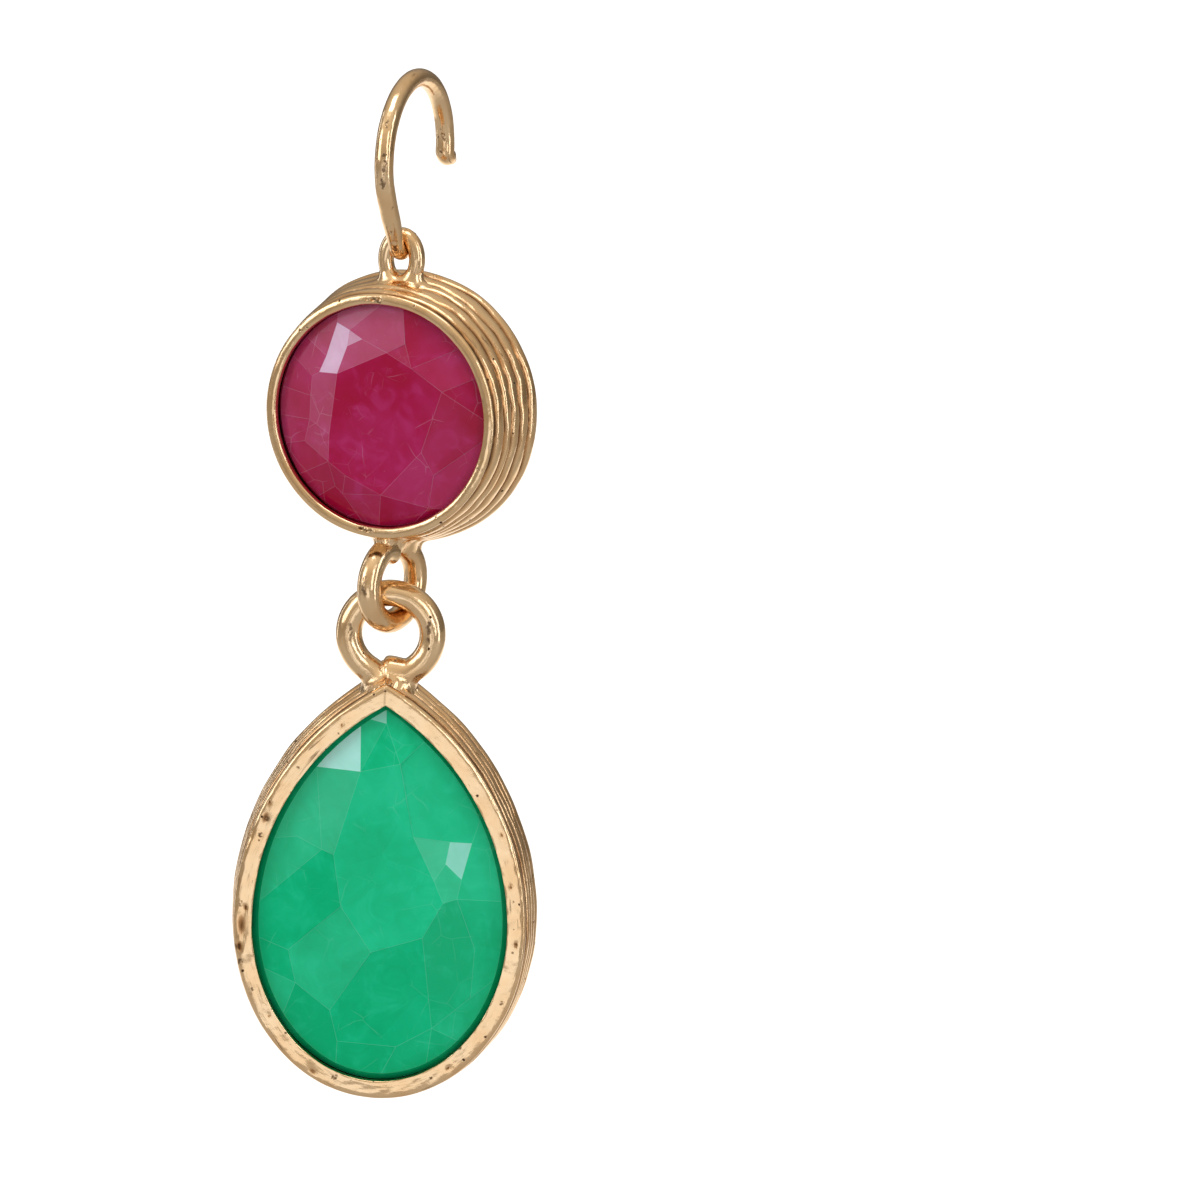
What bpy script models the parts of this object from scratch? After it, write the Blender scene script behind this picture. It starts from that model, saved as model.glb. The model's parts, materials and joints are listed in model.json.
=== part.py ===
"""Drop earring in antiqued gold, hanging as it does when worn.

An open ear hook carries a round set stone, and that carries a pear-shaped one.
Five solids in three moving groups: the hook, the round setting with its stone,
and the pear setting with its stone. Each setting is one piece of soldered metal
with its rings.

Frame: metres, +Z up. The round stone faces -Y. The origin is the highest point
inside the hook's arch, where it sits in the ear.
"""
from collections import namedtuple
from math import acos, cos, degrees, pi, radians, sin, tan

import bmesh
import bpy
from mathutils import Vector

# Ear hook, its centre line drawn round the middle of the top ring's upper wire.
HOOK_WIRE = 0.00103
HOOK_EYE_WIRE = 0.00070
HOOK_EYE_CLEARANCE = 0.00013
HOOK_EYE_END_DEG = -5.0
HOOK_EYE_LEAN_DEG = 25.0
HOOK_ARCH_RADIUS = 0.00420
HOOK_ARCH_RISE = 0.00420
HOOK_ARCH_SETBACK = 0.00142
HOOK_TAIL_TURN_DEG = 2.0
HOOK_TAIL_REACH = 0.00090
HOOK_TAIL_DROP = 0.00058
HOOK_TAIL_FLICK_DEG = 32.0

# Rings, all of round wire. Widths and radii run to the wire's centre.
TOP_RING_WIRE = 0.00088
TOP_RING_WIDTH = 0.00182
TOP_RING_STAND = 0.00240
TOP_RING_SINK = 0.00022
UPPER_LINK_WIRE = 0.00130
UPPER_LINK_RADIUS = 0.00210
UPPER_LINK_STAND = 0.00034
UPPER_LINK_TURN_DEG = 76.0
LOWER_LINK_WIRE = 0.00146
LOWER_LINK_RADIUS = 0.00230
LOWER_LINK_SINK = 0.00015
LINK_CLEARANCE = 0.00018
SOLDER_SWELL = 0.42
SOLDER_REACH = 0.00075

# Round setting and stone. The opening is the width of stone that shows.
ROUND_OPENING = 0.01216
ROUND_RIM = 0.00062
ROUND_DEPTH = 0.00462
ROUND_FLARE = 0.00086
ROUND_RING_DEPTH = 0.00262
ROUND_FLANK_START = 0.00052
ROUND_RIDGES = 4
ROUND_GROOVE = 0.00013
ROUND_SEAT_ROOM = 0.00024
ROUND_LEDGE = 0.00046
ROUND_PLATE = 0.00060
ROUND_GIRDLE_DEPTH = 0.00078
ROUND_GIRDLE_HEIGHT = 0.00022
ROUND_CROWN = 0.00100
ROUND_PAVILION = 0.00200

# Pear setting and stone, with the opening's heights from its widest level.
PEAR_HALF_WIDTH = 0.00708
PEAR_RISE = 0.01252
PEAR_FALL = 0.00885
PEAR_RIM = 0.00106
PEAR_DEPTH = 0.00300
PEAR_FLARE = 0.00042
PEAR_RING_DEPTH = 0.00178
PEAR_FLANK_START = 0.00062
PEAR_RIDGES = 3
PEAR_GROOVE = 0.00010
PEAR_SEAT_ROOM = 0.00035
PEAR_LEDGE = 0.00060
PEAR_PLATE = 0.00050
PEAR_GIRDLE_DEPTH = 0.00092
PEAR_GIRDLE_HEIGHT = 0.00018
PEAR_CROWN = 0.00088
PEAR_PAVILION = 0.00112
PEAR_TURN_DEG = 17.5
PEAR_SHOULDER_SHARE = 0.88

# Stone fits: how far the girdle goes under the rim, its clearance at the side and
# its room below the rim. The rim's heel lies at a share of the pocket's top.
GIRDLE_TUCK = 0.00010
STONE_CLEARANCE = 0.00010
GIRDLE_ROOM = 0.00014
HEEL_SHARE = 0.55

# Rounding of a setting's back edge, in groove depths.
BACK_ROUNDING = 2.5

# Mesh fineness, and the angle from which a corner stays sharp.
OUTLINE_STEPS = 72
PEAR_SIDE_STEPS = 22
WIRE_SIDES = 10
RING_STEPS = 36
EYE_STEPS = 24
SHANK_STEPS = 12
ARCH_STEPS = 24
TAIL_STEPS = 6
TIP_STEPS = 3
SETTING_CREASE_DEG = 32.0
HOOK_CREASE_DEG = 50.0
CUT_TOLERANCE = 1e-9

# Rim shape across its face: shares of the rim's width and of its rounding depth.
LipPoint = namedtuple("LipPoint", "across back")
ROUND_LIP_DEPTH = 0.00030
ROUND_LIP = (
    LipPoint(0.00, 0.70),
    LipPoint(0.10, 0.22),
    LipPoint(0.34, 0.00),
    LipPoint(0.66, 0.03),
    LipPoint(0.92, 0.30),
    LipPoint(1.00, 0.85),
)
PEAR_LIP_DEPTH = 0.00032
PEAR_LIP = (
    LipPoint(0.00, 0.16),
    LipPoint(0.04, 0.00),
    LipPoint(0.76, 0.04),
    LipPoint(0.93, 0.32),
    LipPoint(1.00, 0.95),
)

# One ridge of the flank: shares of the pitch and of the groove's depth.
RidgePoint = namedtuple("RidgePoint", "along height")
RIDGE = (
    RidgePoint(0.00, 0.00),
    RidgePoint(0.17, 0.74),
    RidgePoint(0.50, 1.00),
    RidgePoint(0.83, 0.74),
)

# Facets that meet a table: the way each faces (0 is +X, 90 up), how far from
# the stone's middle it meets the table, as a share of half its width, and slope.
TableFacet = namedtuple("TableFacet", "facing_deg reach slope_deg")
ROUND_TABLE = (
    TableFacet(107.0, 0.52, 7.0),
    TableFacet(58.0, 0.53, 6.0),
    TableFacet(18.0, 0.60, 8.0),
    TableFacet(-19.0, 0.47, 6.0),
    TableFacet(-46.0, 0.50, 7.5),
    TableFacet(-90.0, 0.62, 6.0),
    TableFacet(-126.0, 0.57, 7.0),
    TableFacet(174.0, 0.43, 6.5),
    TableFacet(140.0, 0.55, 9.0),
)
PEAR_TABLE = (
    TableFacet(162.0, 0.53, 6.0),
    TableFacet(188.0, 0.28, 4.0),
    TableFacet(214.0, 0.17, 4.5),
    TableFacet(-75.0, 0.16, 3.6),
    TableFacet(-31.0, 0.32, 4.2),
    TableFacet(24.0, 0.53, 5.0),
    TableFacet(40.0, 0.66, 6.5),
    TableFacet(118.0, 0.98, 7.0),
)

# Finishes: base colour, roughness and metallic value.
GOLD = ((0.80, 0.52, 0.29), 0.28, 1.0)
RUBY_RED = ((0.55, 0.02, 0.12), 0.15, 0.0)
LEAF_GREEN = ((0.02, 0.45, 0.18), 0.12, 0.0)


# Facet rows that follow a girdle: the ways they face, their slope, and how far
# in from the girdle they begin, as a share of half the stone's width.
Tier = namedtuple("Tier", "facings slope_deg begin")

Setting = namedtuple(
    "Setting",
    "outline rim depth flare flank_start ridges groove lip lip_depth"
    " pocket_top seat_depth seat_slope_deg ledge plate",
)
Stone = namedtuple(
    "Stone", "outline half_width girdle_depth girdle_height crown pavilion table tiers back"
)


def evenly(count, first_deg, span_deg):
    """Give count directions, each in the middle of its share of the span."""
    return tuple(first_deg + span_deg * (step + 0.5) / count for step in range(count))


def pear_directions(on_shoulder, round_bottom, first_deg=180.0):
    """Facet directions of a pear: some on each shoulder, the rest round its bottom."""
    return (
        evenly(on_shoulder, 0.0, pear_shoulder_deg)
        + evenly(on_shoulder, 180.0 - pear_shoulder_deg, pear_shoulder_deg)
        + evenly(round_bottom, first_deg, 180.0)
    )


def flank_offset(depth, rim, flare, full_depth):
    """Distance of the flank's crests outside the opening, at a depth."""
    return rim + flare * depth / full_depth


def pear_arc():
    """Radius of the pear opening's side arcs, and the right one's centre in x."""
    radius = (PEAR_RISE ** 2 + PEAR_HALF_WIDTH ** 2) / (2 * PEAR_HALF_WIDTH)
    return radius, PEAR_HALF_WIDTH - radius


# Places that follow from the sizes.
hook_eye_radius = (TOP_RING_WIRE + HOOK_EYE_WIRE) / 2 + HOOK_EYE_CLEARANCE
upper_hinge = Vector((
    0.0,
    -HOOK_ARCH_SETBACK,
    HOOK_WIRE / 2 - HOOK_ARCH_RADIUS - HOOK_ARCH_RISE,
))
round_ring_radius = ROUND_OPENING / 2 + flank_offset(
    ROUND_RING_DEPTH, ROUND_RIM, ROUND_FLARE, ROUND_DEPTH
)
round_drop = TOP_RING_STAND + round_ring_radius
upper_link_drop = round_drop + round_ring_radius + UPPER_LINK_STAND + UPPER_LINK_RADIUS
lower_hinge_drop = (
    upper_link_drop
    + UPPER_LINK_RADIUS
    - (UPPER_LINK_WIRE + LOWER_LINK_WIRE) / 2
    - LINK_CLEARANCE
)


def pear_outline(offset):
    """Outline of the pear stone's opening, moved outward by offset.

    Two arcs meet at the apex, and half an ellipse closes the bottom. The points
    run clockwise from the apex, seen from the front, as (x, z) pairs.
    """
    arc, arc_middle = pear_arc()
    radius = arc + offset
    apex_turn = acos(-arc_middle / radius)
    bottom_steps = OUTLINE_STEPS - 2 * PEAR_SIDE_STEPS
    right = []
    for step in range(PEAR_SIDE_STEPS):
        turn = apex_turn * (1 - step / PEAR_SIDE_STEPS)
        right.append((arc_middle + radius * cos(turn), radius * sin(turn)))
    bottom = []
    for step in range(bottom_steps + 1):
        turn = pi * step / bottom_steps
        half_width = PEAR_HALF_WIDTH + offset
        bottom.append((half_width * cos(turn), -(PEAR_FALL + offset) * sin(turn)))
    left = [(-x, z) for x, z in reversed(right[1:])]
    return [(0.0, right[0][1])] + right[1:] + bottom + left


def round_outline(offset):
    """Outline of the round stone's opening, moved outward by offset."""
    radius = ROUND_OPENING / 2 + offset
    turns = [2 * pi * step / OUTLINE_STEPS for step in range(OUTLINE_STEPS)]
    return [(radius * sin(turn), radius * cos(turn)) for turn in turns]


pear_ring_offset = flank_offset(PEAR_RING_DEPTH, PEAR_RIM, PEAR_FLARE, PEAR_DEPTH)
pear_apex_rise = pear_outline(pear_ring_offset)[0][1]
pear_drop = 2 * LOWER_LINK_RADIUS - LOWER_LINK_SINK + pear_apex_rise
pear_shoulder_deg = PEAR_SHOULDER_SHARE * degrees(acos(-pear_arc()[1] / pear_arc()[0]))

ROUND_TIERS = (
    Tier(evenly(16, 3.0, 360.0), 34.0, 0.0),
    Tier(evenly(8, 10.0, 360.0), 15.0, 0.131),
)
ROUND_BACK = Tier(evenly(12, 0.0, 360.0), 28.0, 0.0)
PEAR_TIERS = (
    Tier(pear_directions(6, 10), 44.0, 0.0),
    Tier(pear_directions(3, 6, 186.0), 13.0, 0.0653),
)
PEAR_BACK = Tier(pear_directions(4, 8), 22.0, 0.0)


def clear_scene():
    """Remove every object that is already there."""
    for thing in list(bpy.data.objects):
        bpy.data.objects.remove(thing, do_unlink=True)


def finish(name, colour, roughness, metallic):
    """Make a plain material."""
    material = bpy.data.materials.new(name)
    material.use_nodes = True
    shader = material.node_tree.nodes["Principled BSDF"]
    shader.inputs["Base Color"].default_value = (*colour, 1.0)
    shader.inputs["Roughness"].default_value = roughness
    shader.inputs["Metallic"].default_value = metallic
    return material


def add_object(name, bm, material, parent=None):
    """Turn a bmesh into a named object with outward faces."""
    bmesh.ops.recalc_face_normals(bm, faces=bm.faces)
    mesh = bpy.data.meshes.new(name)
    bm.to_mesh(mesh)
    bm.free()
    thing = bpy.data.objects.new(name, mesh)
    thing.data.materials.append(material)
    thing.parent = parent
    bpy.context.scene.collection.objects.link(thing)
    return thing


def smooth(thing, angle_deg):
    """Shade a round piece smooth, with its corners kept sharp."""
    thing.data.shade_smooth()
    thing.data.set_sharp_from_angle(angle=radians(angle_deg))


def add_pivot(name, place, turn_deg=0.0, parent=None):
    """Add an empty on a joint's axis."""
    pivot = bpy.data.objects.new(name, None)
    pivot.location = place
    pivot.rotation_euler.z = radians(turn_deg)
    pivot.parent = parent
    bpy.context.scene.collection.objects.link(pivot)
    return pivot


def bridge(bm, first, second):
    """Join two closed rings of vertices with four-sided faces."""
    count = len(first)
    for step in range(count):
        after = (step + 1) % count
        bm.faces.new((first[step], first[after], second[after], second[step]))


def loft(rings, closed=False):
    """Skin a row of point rings; an open row gets a flat face at each end."""
    bm = bmesh.new()
    rows = [[bm.verts.new(point) for point in ring] for ring in rings]
    for first, second in zip(rows, rows[1:]):
        bridge(bm, first, second)
    if closed:
        bridge(bm, rows[-1], rows[0])
    else:
        bm.faces.new(rows[0])
        bm.faces.new(rows[-1])
    return bm


def wire_rings(centres, radii, across, closed=False):
    """Rings of points round a centre line that lies in one plane.

    across is the unit vector square to that plane.
    """
    count = len(centres)
    rings = []
    for step, centre in enumerate(centres):
        before = centres[step - 1] if step or closed else centre
        after = centres[(step + 1) % count] if step < count - 1 or closed else centre
        outward = across.cross((after - before).normalized())
        rings.append([
            centre
            + radii[step] * cos(turn) * across
            + radii[step] * sin(turn) * outward
            for turn in (2 * pi * side / WIRE_SIDES for side in range(WIRE_SIDES))
        ])
    return rings


def curve_points(start, start_way, end, end_way, count):
    """Points on a smooth curve between two points with given directions."""
    pull = (end - start).length / 3
    points = []
    for step in range(1, count + 1):
        t = step / count
        points.append(
            start * (1 - t) ** 3
            + (start + start_way * pull) * 3 * t * (1 - t) ** 2
            + (end - end_way * pull) * 3 * t * t * (1 - t)
            + end * t ** 3
        )
    return points


def in_plane(back, up):
    """A point of the hook's plane."""
    return Vector((0.0, back, up))


def hook_line():
    """Centre line and radii of the hook, from the eye's end to the tail's tip."""
    centres = []
    radii = []
    eye_from = radians(HOOK_EYE_END_DEG)
    eye_to = radians(HOOK_EYE_LEAN_DEG - 180.0)
    for step in range(EYE_STEPS + 1):
        turn = eye_from + (eye_to - eye_from) * step / EYE_STEPS
        centres.append(hook_eye_radius * in_plane(cos(turn), sin(turn)))
        radii.append(HOOK_EYE_WIRE / 2)
    lean = radians(HOOK_EYE_LEAN_DEG)
    arch_middle = in_plane(HOOK_ARCH_SETBACK, HOOK_ARCH_RISE)
    arch_front = arch_middle - in_plane(HOOK_ARCH_RADIUS, 0.0)
    shank = curve_points(
        centres[-1], in_plane(-sin(lean), cos(lean)), arch_front, in_plane(0.0, 1.0), SHANK_STEPS
    )
    for step, point in enumerate(shank, 1):
        share = sin(pi / 2 * step / SHANK_STEPS)
        centres.append(point)
        radii.append((HOOK_EYE_WIRE + (HOOK_WIRE - HOOK_EYE_WIRE) * share) / 2)
    tail_turn = radians(HOOK_TAIL_TURN_DEG)
    for step in range(1, ARCH_STEPS + 1):
        turn = pi - (pi + tail_turn) * step / ARCH_STEPS
        centres.append(arch_middle + HOOK_ARCH_RADIUS * in_plane(cos(turn), sin(turn)))
        radii.append(HOOK_WIRE / 2)
    flick = radians(HOOK_TAIL_FLICK_DEG)
    tip_way = in_plane(cos(flick), -sin(flick))
    tip = centres[-1] + in_plane(HOOK_TAIL_REACH, -HOOK_TAIL_DROP)
    tail = curve_points(
        centres[-1], in_plane(-sin(tail_turn), -cos(tail_turn)), tip, tip_way, TAIL_STEPS
    )
    centres.extend(tail)
    radii.extend([HOOK_WIRE / 2] * len(tail))
    for step in range(1, TIP_STEPS + 1):
        turn = pi / 2 * step / (TIP_STEPS + 1)
        centres.append(tip + tip_way * (HOOK_WIRE / 2) * sin(turn))
        radii.append(HOOK_WIRE / 2 * cos(turn))
    return centres, radii


def make_hook(gold):
    """Make the ear hook, whose eye goes round the top ring's upper wire."""
    centres, radii = hook_line()
    bm = loft(wire_rings(centres, radii, Vector((1.0, 0.0, 0.0))))
    hook = add_object("ear_hook", bm, gold)
    hook.location = upper_hinge
    smooth(hook, HOOK_CREASE_DEG)
    return hook


def make_ring(name, half_width, half_height, wire, turn_deg, joint_way, place, material, parent):
    """Make a ring of wire, upright, that swells where it is soldered on.

    joint_way is +1 where the joint is at the ring's top, and -1 at its bottom.
    """
    along = Vector((cos(radians(turn_deg)), sin(radians(turn_deg)), 0.0))
    up = Vector((0.0, 0.0, 1.0))
    centres = []
    radii = []
    for step in range(RING_STEPS):
        turn = 2 * pi * step / RING_STEPS
        centres.append(along * half_width * cos(turn) + up * half_height * sin(turn))
        from_joint = half_height * (1 - joint_way * sin(turn))
        near = max(0.0, 1 - from_joint / SOLDER_REACH)
        radii.append(wire / 2 * (1 + SOLDER_SWELL * near * near))
    bm = loft(wire_rings(centres, radii, along.cross(up), closed=True), closed=True)
    ring = add_object(name, bm, material, parent)
    ring.location = place
    ring.hide_render = True
    ring.display_type = "WIRE"
    return ring


def solder(body, ring):
    """Join a ring to a setting as one body."""
    union = body.modifiers.new(ring.name, "BOOLEAN")
    union.operation = "UNION"
    union.solver = "EXACT"
    union.object = ring


def setting_section(setting):
    """Section of a setting from its inner floor, over the rim, to its back.

    Each row is a distance outside the opening and a depth behind the rim. The
    seat slopes as the stone's back does.
    """
    pocket = GIRDLE_TUCK + STONE_CLEARANCE
    seat_fall = (setting.ledge + pocket) * tan(radians(setting.seat_slope_deg))
    rows = [
        (-setting.ledge, setting.depth - setting.plate),
        (-setting.ledge, setting.seat_depth + seat_fall),
        (pocket, setting.seat_depth),
        (pocket, setting.pocket_top),
        (0.0, setting.pocket_top * HEEL_SHARE),
    ]
    for point in setting.lip:
        rows.append((setting.rim * point.across, setting.lip_depth * point.back))
    pitch = (setting.depth - setting.flank_start) / setting.ridges
    for ridge in range(setting.ridges):
        for point in RIDGE:
            level = setting.flank_start + pitch * (ridge + point.along)
            crest = flank_offset(level, setting.rim, setting.flare, setting.depth)
            rows.append((crest - setting.groove * (1 - point.height), level))
    back_offset = setting.rim + setting.flare - setting.groove * BACK_ROUNDING
    rows.append((back_offset, setting.depth))
    return rows


def make_setting(name, setting, material, parent, place):
    """Loft a setting through its section, closed by its back plate."""
    rings = [
        [Vector((x, depth, z)) for x, z in setting.outline(offset)]
        for offset, depth in setting_section(setting)
    ]
    cup = add_object(name, loft(rings), material, parent)
    cup.location = place
    smooth(cup, SETTING_CREASE_DEG)
    return cup


def support(outline, facing):
    """How far an outline reaches in a direction."""
    return max(x * cos(facing) + z * sin(facing) for x, z in outline)


def cut_facet(bm, facing, reach, level, slope, to_front):
    """Grind one flat facet on a stone.

    The facet's plane passes reach from the stone's middle at the given depth,
    and its slope is measured from the table.
    """
    front = -1.0 if to_front else 1.0
    normal = Vector((cos(facing) * sin(slope), front * cos(slope), sin(facing) * sin(slope)))
    point = Vector((reach * cos(facing), level, reach * sin(facing)))
    everything = list(bm.verts) + list(bm.edges) + list(bm.faces)
    bmesh.ops.bisect_plane(
        bm, geom=everything, dist=CUT_TOLERANCE, plane_co=point, plane_no=normal,
        clear_outer=True,
    )
    rim = [edge for edge in bm.edges if edge.is_boundary]
    if rim:
        bmesh.ops.holes_fill(bm, edges=rim, sides=0)


def make_stone(name, stone, material, parent, place):
    """Cut a stone: a table with its facets, rows down to the girdle, and a back."""
    girdle_line = stone.outline(GIRDLE_TUCK)
    front = stone.girdle_depth - stone.crown
    behind = stone.girdle_depth + stone.girdle_height
    rings = [
        [Vector((x, level, z)) for x, z in girdle_line]
        for level in (front, behind + stone.pavilion)
    ]
    bm = loft(rings)
    for facet in stone.table:
        cut_facet(
            bm, radians(facet.facing_deg), facet.reach * stone.half_width, front,
            radians(facet.slope_deg), True,
        )
    inset = 0.0
    level = stone.girdle_depth
    slope = 0.0
    for tier in stone.tiers:
        level -= (tier.begin * stone.half_width - inset) * tan(slope)
        inset = tier.begin * stone.half_width
        slope = radians(tier.slope_deg)
        for facing_deg in tier.facings:
            facing = radians(facing_deg)
            reach = support(girdle_line, facing) - inset
            cut_facet(bm, facing, reach, level, slope, True)
    for facing_deg in stone.back.facings:
        facing = radians(facing_deg)
        reach = support(girdle_line, facing)
        cut_facet(bm, facing, reach, behind, radians(stone.back.slope_deg), False)
    cut = add_object(name, bm, material, parent)
    cut.location = place
    return cut


def make_round_drop(gold, red, pivot):
    """Make the round setting with both its rings, and its stone."""
    place = (0.0, -ROUND_RING_DEPTH, -round_drop)
    setting = Setting(
        outline=round_outline, rim=ROUND_RIM, depth=ROUND_DEPTH, flare=ROUND_FLARE,
        flank_start=ROUND_FLANK_START, ridges=ROUND_RIDGES, groove=ROUND_GROOVE,
        lip=ROUND_LIP, lip_depth=ROUND_LIP_DEPTH,
        pocket_top=ROUND_GIRDLE_DEPTH - GIRDLE_ROOM,
        seat_depth=ROUND_GIRDLE_DEPTH + ROUND_GIRDLE_HEIGHT + ROUND_SEAT_ROOM,
        seat_slope_deg=ROUND_BACK.slope_deg, ledge=ROUND_LEDGE, plate=ROUND_PLATE,
    )
    cup = make_setting("round_setting", setting, gold, pivot, place)
    top_half_height = (TOP_RING_STAND + TOP_RING_SINK) / 2
    top_ring = make_ring(
        "top_ring", TOP_RING_WIDTH / 2, top_half_height, TOP_RING_WIRE, 0.0, -1,
        (0.0, 0.0, -top_half_height), gold, pivot,
    )
    upper_link = make_ring(
        "upper_link", UPPER_LINK_RADIUS, UPPER_LINK_RADIUS, UPPER_LINK_WIRE,
        UPPER_LINK_TURN_DEG, 1, (0.0, 0.0, -upper_link_drop), gold, pivot,
    )
    solder(cup, top_ring)
    solder(cup, upper_link)
    stone = Stone(
        outline=round_outline, half_width=ROUND_OPENING / 2,
        girdle_depth=ROUND_GIRDLE_DEPTH, girdle_height=ROUND_GIRDLE_HEIGHT,
        crown=ROUND_CROWN, pavilion=ROUND_PAVILION, table=ROUND_TABLE,
        tiers=ROUND_TIERS, back=ROUND_BACK,
    )
    make_stone("round_stone", stone, red, pivot, place)


def make_pear_drop(gold, green, pivot):
    """Make the pear setting with its ring, and its stone."""
    place = (0.0, -PEAR_RING_DEPTH, -pear_drop)
    setting = Setting(
        outline=pear_outline, rim=PEAR_RIM, depth=PEAR_DEPTH, flare=PEAR_FLARE,
        flank_start=PEAR_FLANK_START, ridges=PEAR_RIDGES,
        groove=PEAR_GROOVE, lip=PEAR_LIP, lip_depth=PEAR_LIP_DEPTH,
        pocket_top=PEAR_GIRDLE_DEPTH - GIRDLE_ROOM,
        seat_depth=PEAR_GIRDLE_DEPTH + PEAR_GIRDLE_HEIGHT + PEAR_SEAT_ROOM,
        seat_slope_deg=PEAR_BACK.slope_deg, ledge=PEAR_LEDGE, plate=PEAR_PLATE,
    )
    cup = make_setting("pear_setting", setting, gold, pivot, place)
    lower_link = make_ring(
        "lower_link", LOWER_LINK_RADIUS, LOWER_LINK_RADIUS, LOWER_LINK_WIRE, 0.0, -1,
        (0.0, 0.0, -LOWER_LINK_RADIUS), gold, pivot,
    )
    solder(cup, lower_link)
    stone = Stone(
        outline=pear_outline, half_width=PEAR_HALF_WIDTH,
        girdle_depth=PEAR_GIRDLE_DEPTH, girdle_height=PEAR_GIRDLE_HEIGHT,
        crown=PEAR_CROWN, pavilion=PEAR_PAVILION, table=PEAR_TABLE,
        tiers=PEAR_TIERS, back=PEAR_BACK,
    )
    make_stone("pear_stone", stone, green, pivot, place)


def main():
    """Build the earring, each drop hung from the pivot of its joint."""
    clear_scene()
    gold = finish("antiqued_gold", *GOLD)
    red = finish("milky_red", *RUBY_RED)
    green = finish("milky_green", *LEAF_GREEN)
    make_hook(gold)
    round_pivot = add_pivot("round_pivot", upper_hinge)
    make_round_drop(gold, red, round_pivot)
    pear_pivot = add_pivot(
        "pear_pivot", (0.0, 0.0, -lower_hinge_drop), PEAR_TURN_DEG, round_pivot
    )
    make_pear_drop(gold, green, pear_pivot)
    bpy.context.view_layer.update()


main()
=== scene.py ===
"""Looks of a drop earring: antiqued gold, a milky red stone and a milky green one below it.

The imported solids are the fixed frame. Each metal piece and each stone is made again here as
a finer mesh in the same place, and rides on the body of the solid that it stands for.
Metres, +Z up, and the round stone faces -Y.
"""
from __future__ import annotations

import json
import logging
from collections.abc import Sequence
from dataclasses import dataclass, field, replace
from enum import Enum
from math import cos, pi, radians, sin, tan
from typing import Any, Protocol

import bmesh
import bpy
import numpy as np
from mathutils import Matrix, Vector, noise


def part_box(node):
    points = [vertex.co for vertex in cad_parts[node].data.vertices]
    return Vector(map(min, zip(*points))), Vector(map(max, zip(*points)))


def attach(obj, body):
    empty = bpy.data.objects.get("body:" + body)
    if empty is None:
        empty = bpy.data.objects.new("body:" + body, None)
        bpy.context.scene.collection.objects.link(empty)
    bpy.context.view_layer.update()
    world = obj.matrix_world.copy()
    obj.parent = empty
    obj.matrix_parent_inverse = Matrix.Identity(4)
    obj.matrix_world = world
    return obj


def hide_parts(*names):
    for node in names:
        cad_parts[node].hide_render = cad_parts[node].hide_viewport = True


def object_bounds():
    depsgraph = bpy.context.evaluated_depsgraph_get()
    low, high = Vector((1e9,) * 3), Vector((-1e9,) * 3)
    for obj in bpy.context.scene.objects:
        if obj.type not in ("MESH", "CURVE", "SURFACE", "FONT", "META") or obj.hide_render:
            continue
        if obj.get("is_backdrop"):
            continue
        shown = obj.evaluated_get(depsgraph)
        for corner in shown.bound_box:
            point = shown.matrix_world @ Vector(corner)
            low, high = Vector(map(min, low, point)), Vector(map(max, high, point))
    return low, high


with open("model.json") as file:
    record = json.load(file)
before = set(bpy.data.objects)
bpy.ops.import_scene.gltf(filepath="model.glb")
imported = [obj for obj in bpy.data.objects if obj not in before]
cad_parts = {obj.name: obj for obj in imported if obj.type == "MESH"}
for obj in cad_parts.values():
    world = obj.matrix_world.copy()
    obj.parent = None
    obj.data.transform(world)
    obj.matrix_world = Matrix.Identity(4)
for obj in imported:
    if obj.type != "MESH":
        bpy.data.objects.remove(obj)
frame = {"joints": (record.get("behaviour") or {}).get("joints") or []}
LOG = logging.getLogger("drop_earring")
MM = 0.001
X_WAY = np.array((1.0, 0.0, 0.0))
UP = np.array((0.0, 0.0, 1.0))

Pair = tuple[float, float]
Triple = tuple[float, float, float]
Row = tuple[np.ndarray | float, np.ndarray | float, np.ndarray | float]


class Side(Enum):
    """Which side of a ring its cut joint is on."""

    TOP = 90.0
    BOTTOM = -90.0


# Numbers worked out for many points at once.


def ripple(points: np.ndarray, per_metre: float, seed: int) -> np.ndarray:
    """Smooth noise at each point.

    Args:
        points: Places, one row each.
        per_metre: How many waves lie in a metre.
        seed: Shifts the pattern.

    Returns:
        Values from about -1 to 1.
    """
    shift = Vector((seed * 7.31, seed * 3.77, seed * 5.19))
    flat = points.reshape(-1, 3)
    values = [noise.noise(Vector(point) * per_metre + shift) for point in flat]
    return np.array(values).reshape(points.shape[:-1])


def ease(values: np.ndarray, low: float, high: float) -> np.ndarray:
    """Smooth step of values: 0 at low, 1 at high."""
    share = np.clip((values - low) / (high - low), 0.0, 1.0)
    return share * share * (3 - 2 * share)


def unit(vectors: np.ndarray) -> np.ndarray:
    """Vectors at unit length."""
    length = np.linalg.norm(vectors, axis=-1, keepdims=True)
    return vectors / np.maximum(length, 1e-12)


def smooth_row(table: Sequence[Pair], count: int) -> np.ndarray:
    """Points on a smooth curve through a few pairs.

    Args:
        table: Pairs that the curve passes through.
        count: How many points to give.

    Returns:
        An array of count pairs.
    """
    knots = np.array(table)
    knots = np.vstack((2 * knots[0] - knots[1], knots, 2 * knots[-1] - knots[-2]))
    spans = len(table) - 1
    places = np.linspace(0.0, spans - 1e-9, count)
    index = places.astype(int)
    t = (places - index)[:, None]
    a, b, c, d = (knots[index + step] for step in range(4))
    return 0.5 * (
        2 * b + (c - a) * t + (2 * a - 5 * b + 4 * c - d) * t ** 2
        + (3 * b - a - 3 * c + d) * t ** 3
    )


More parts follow.
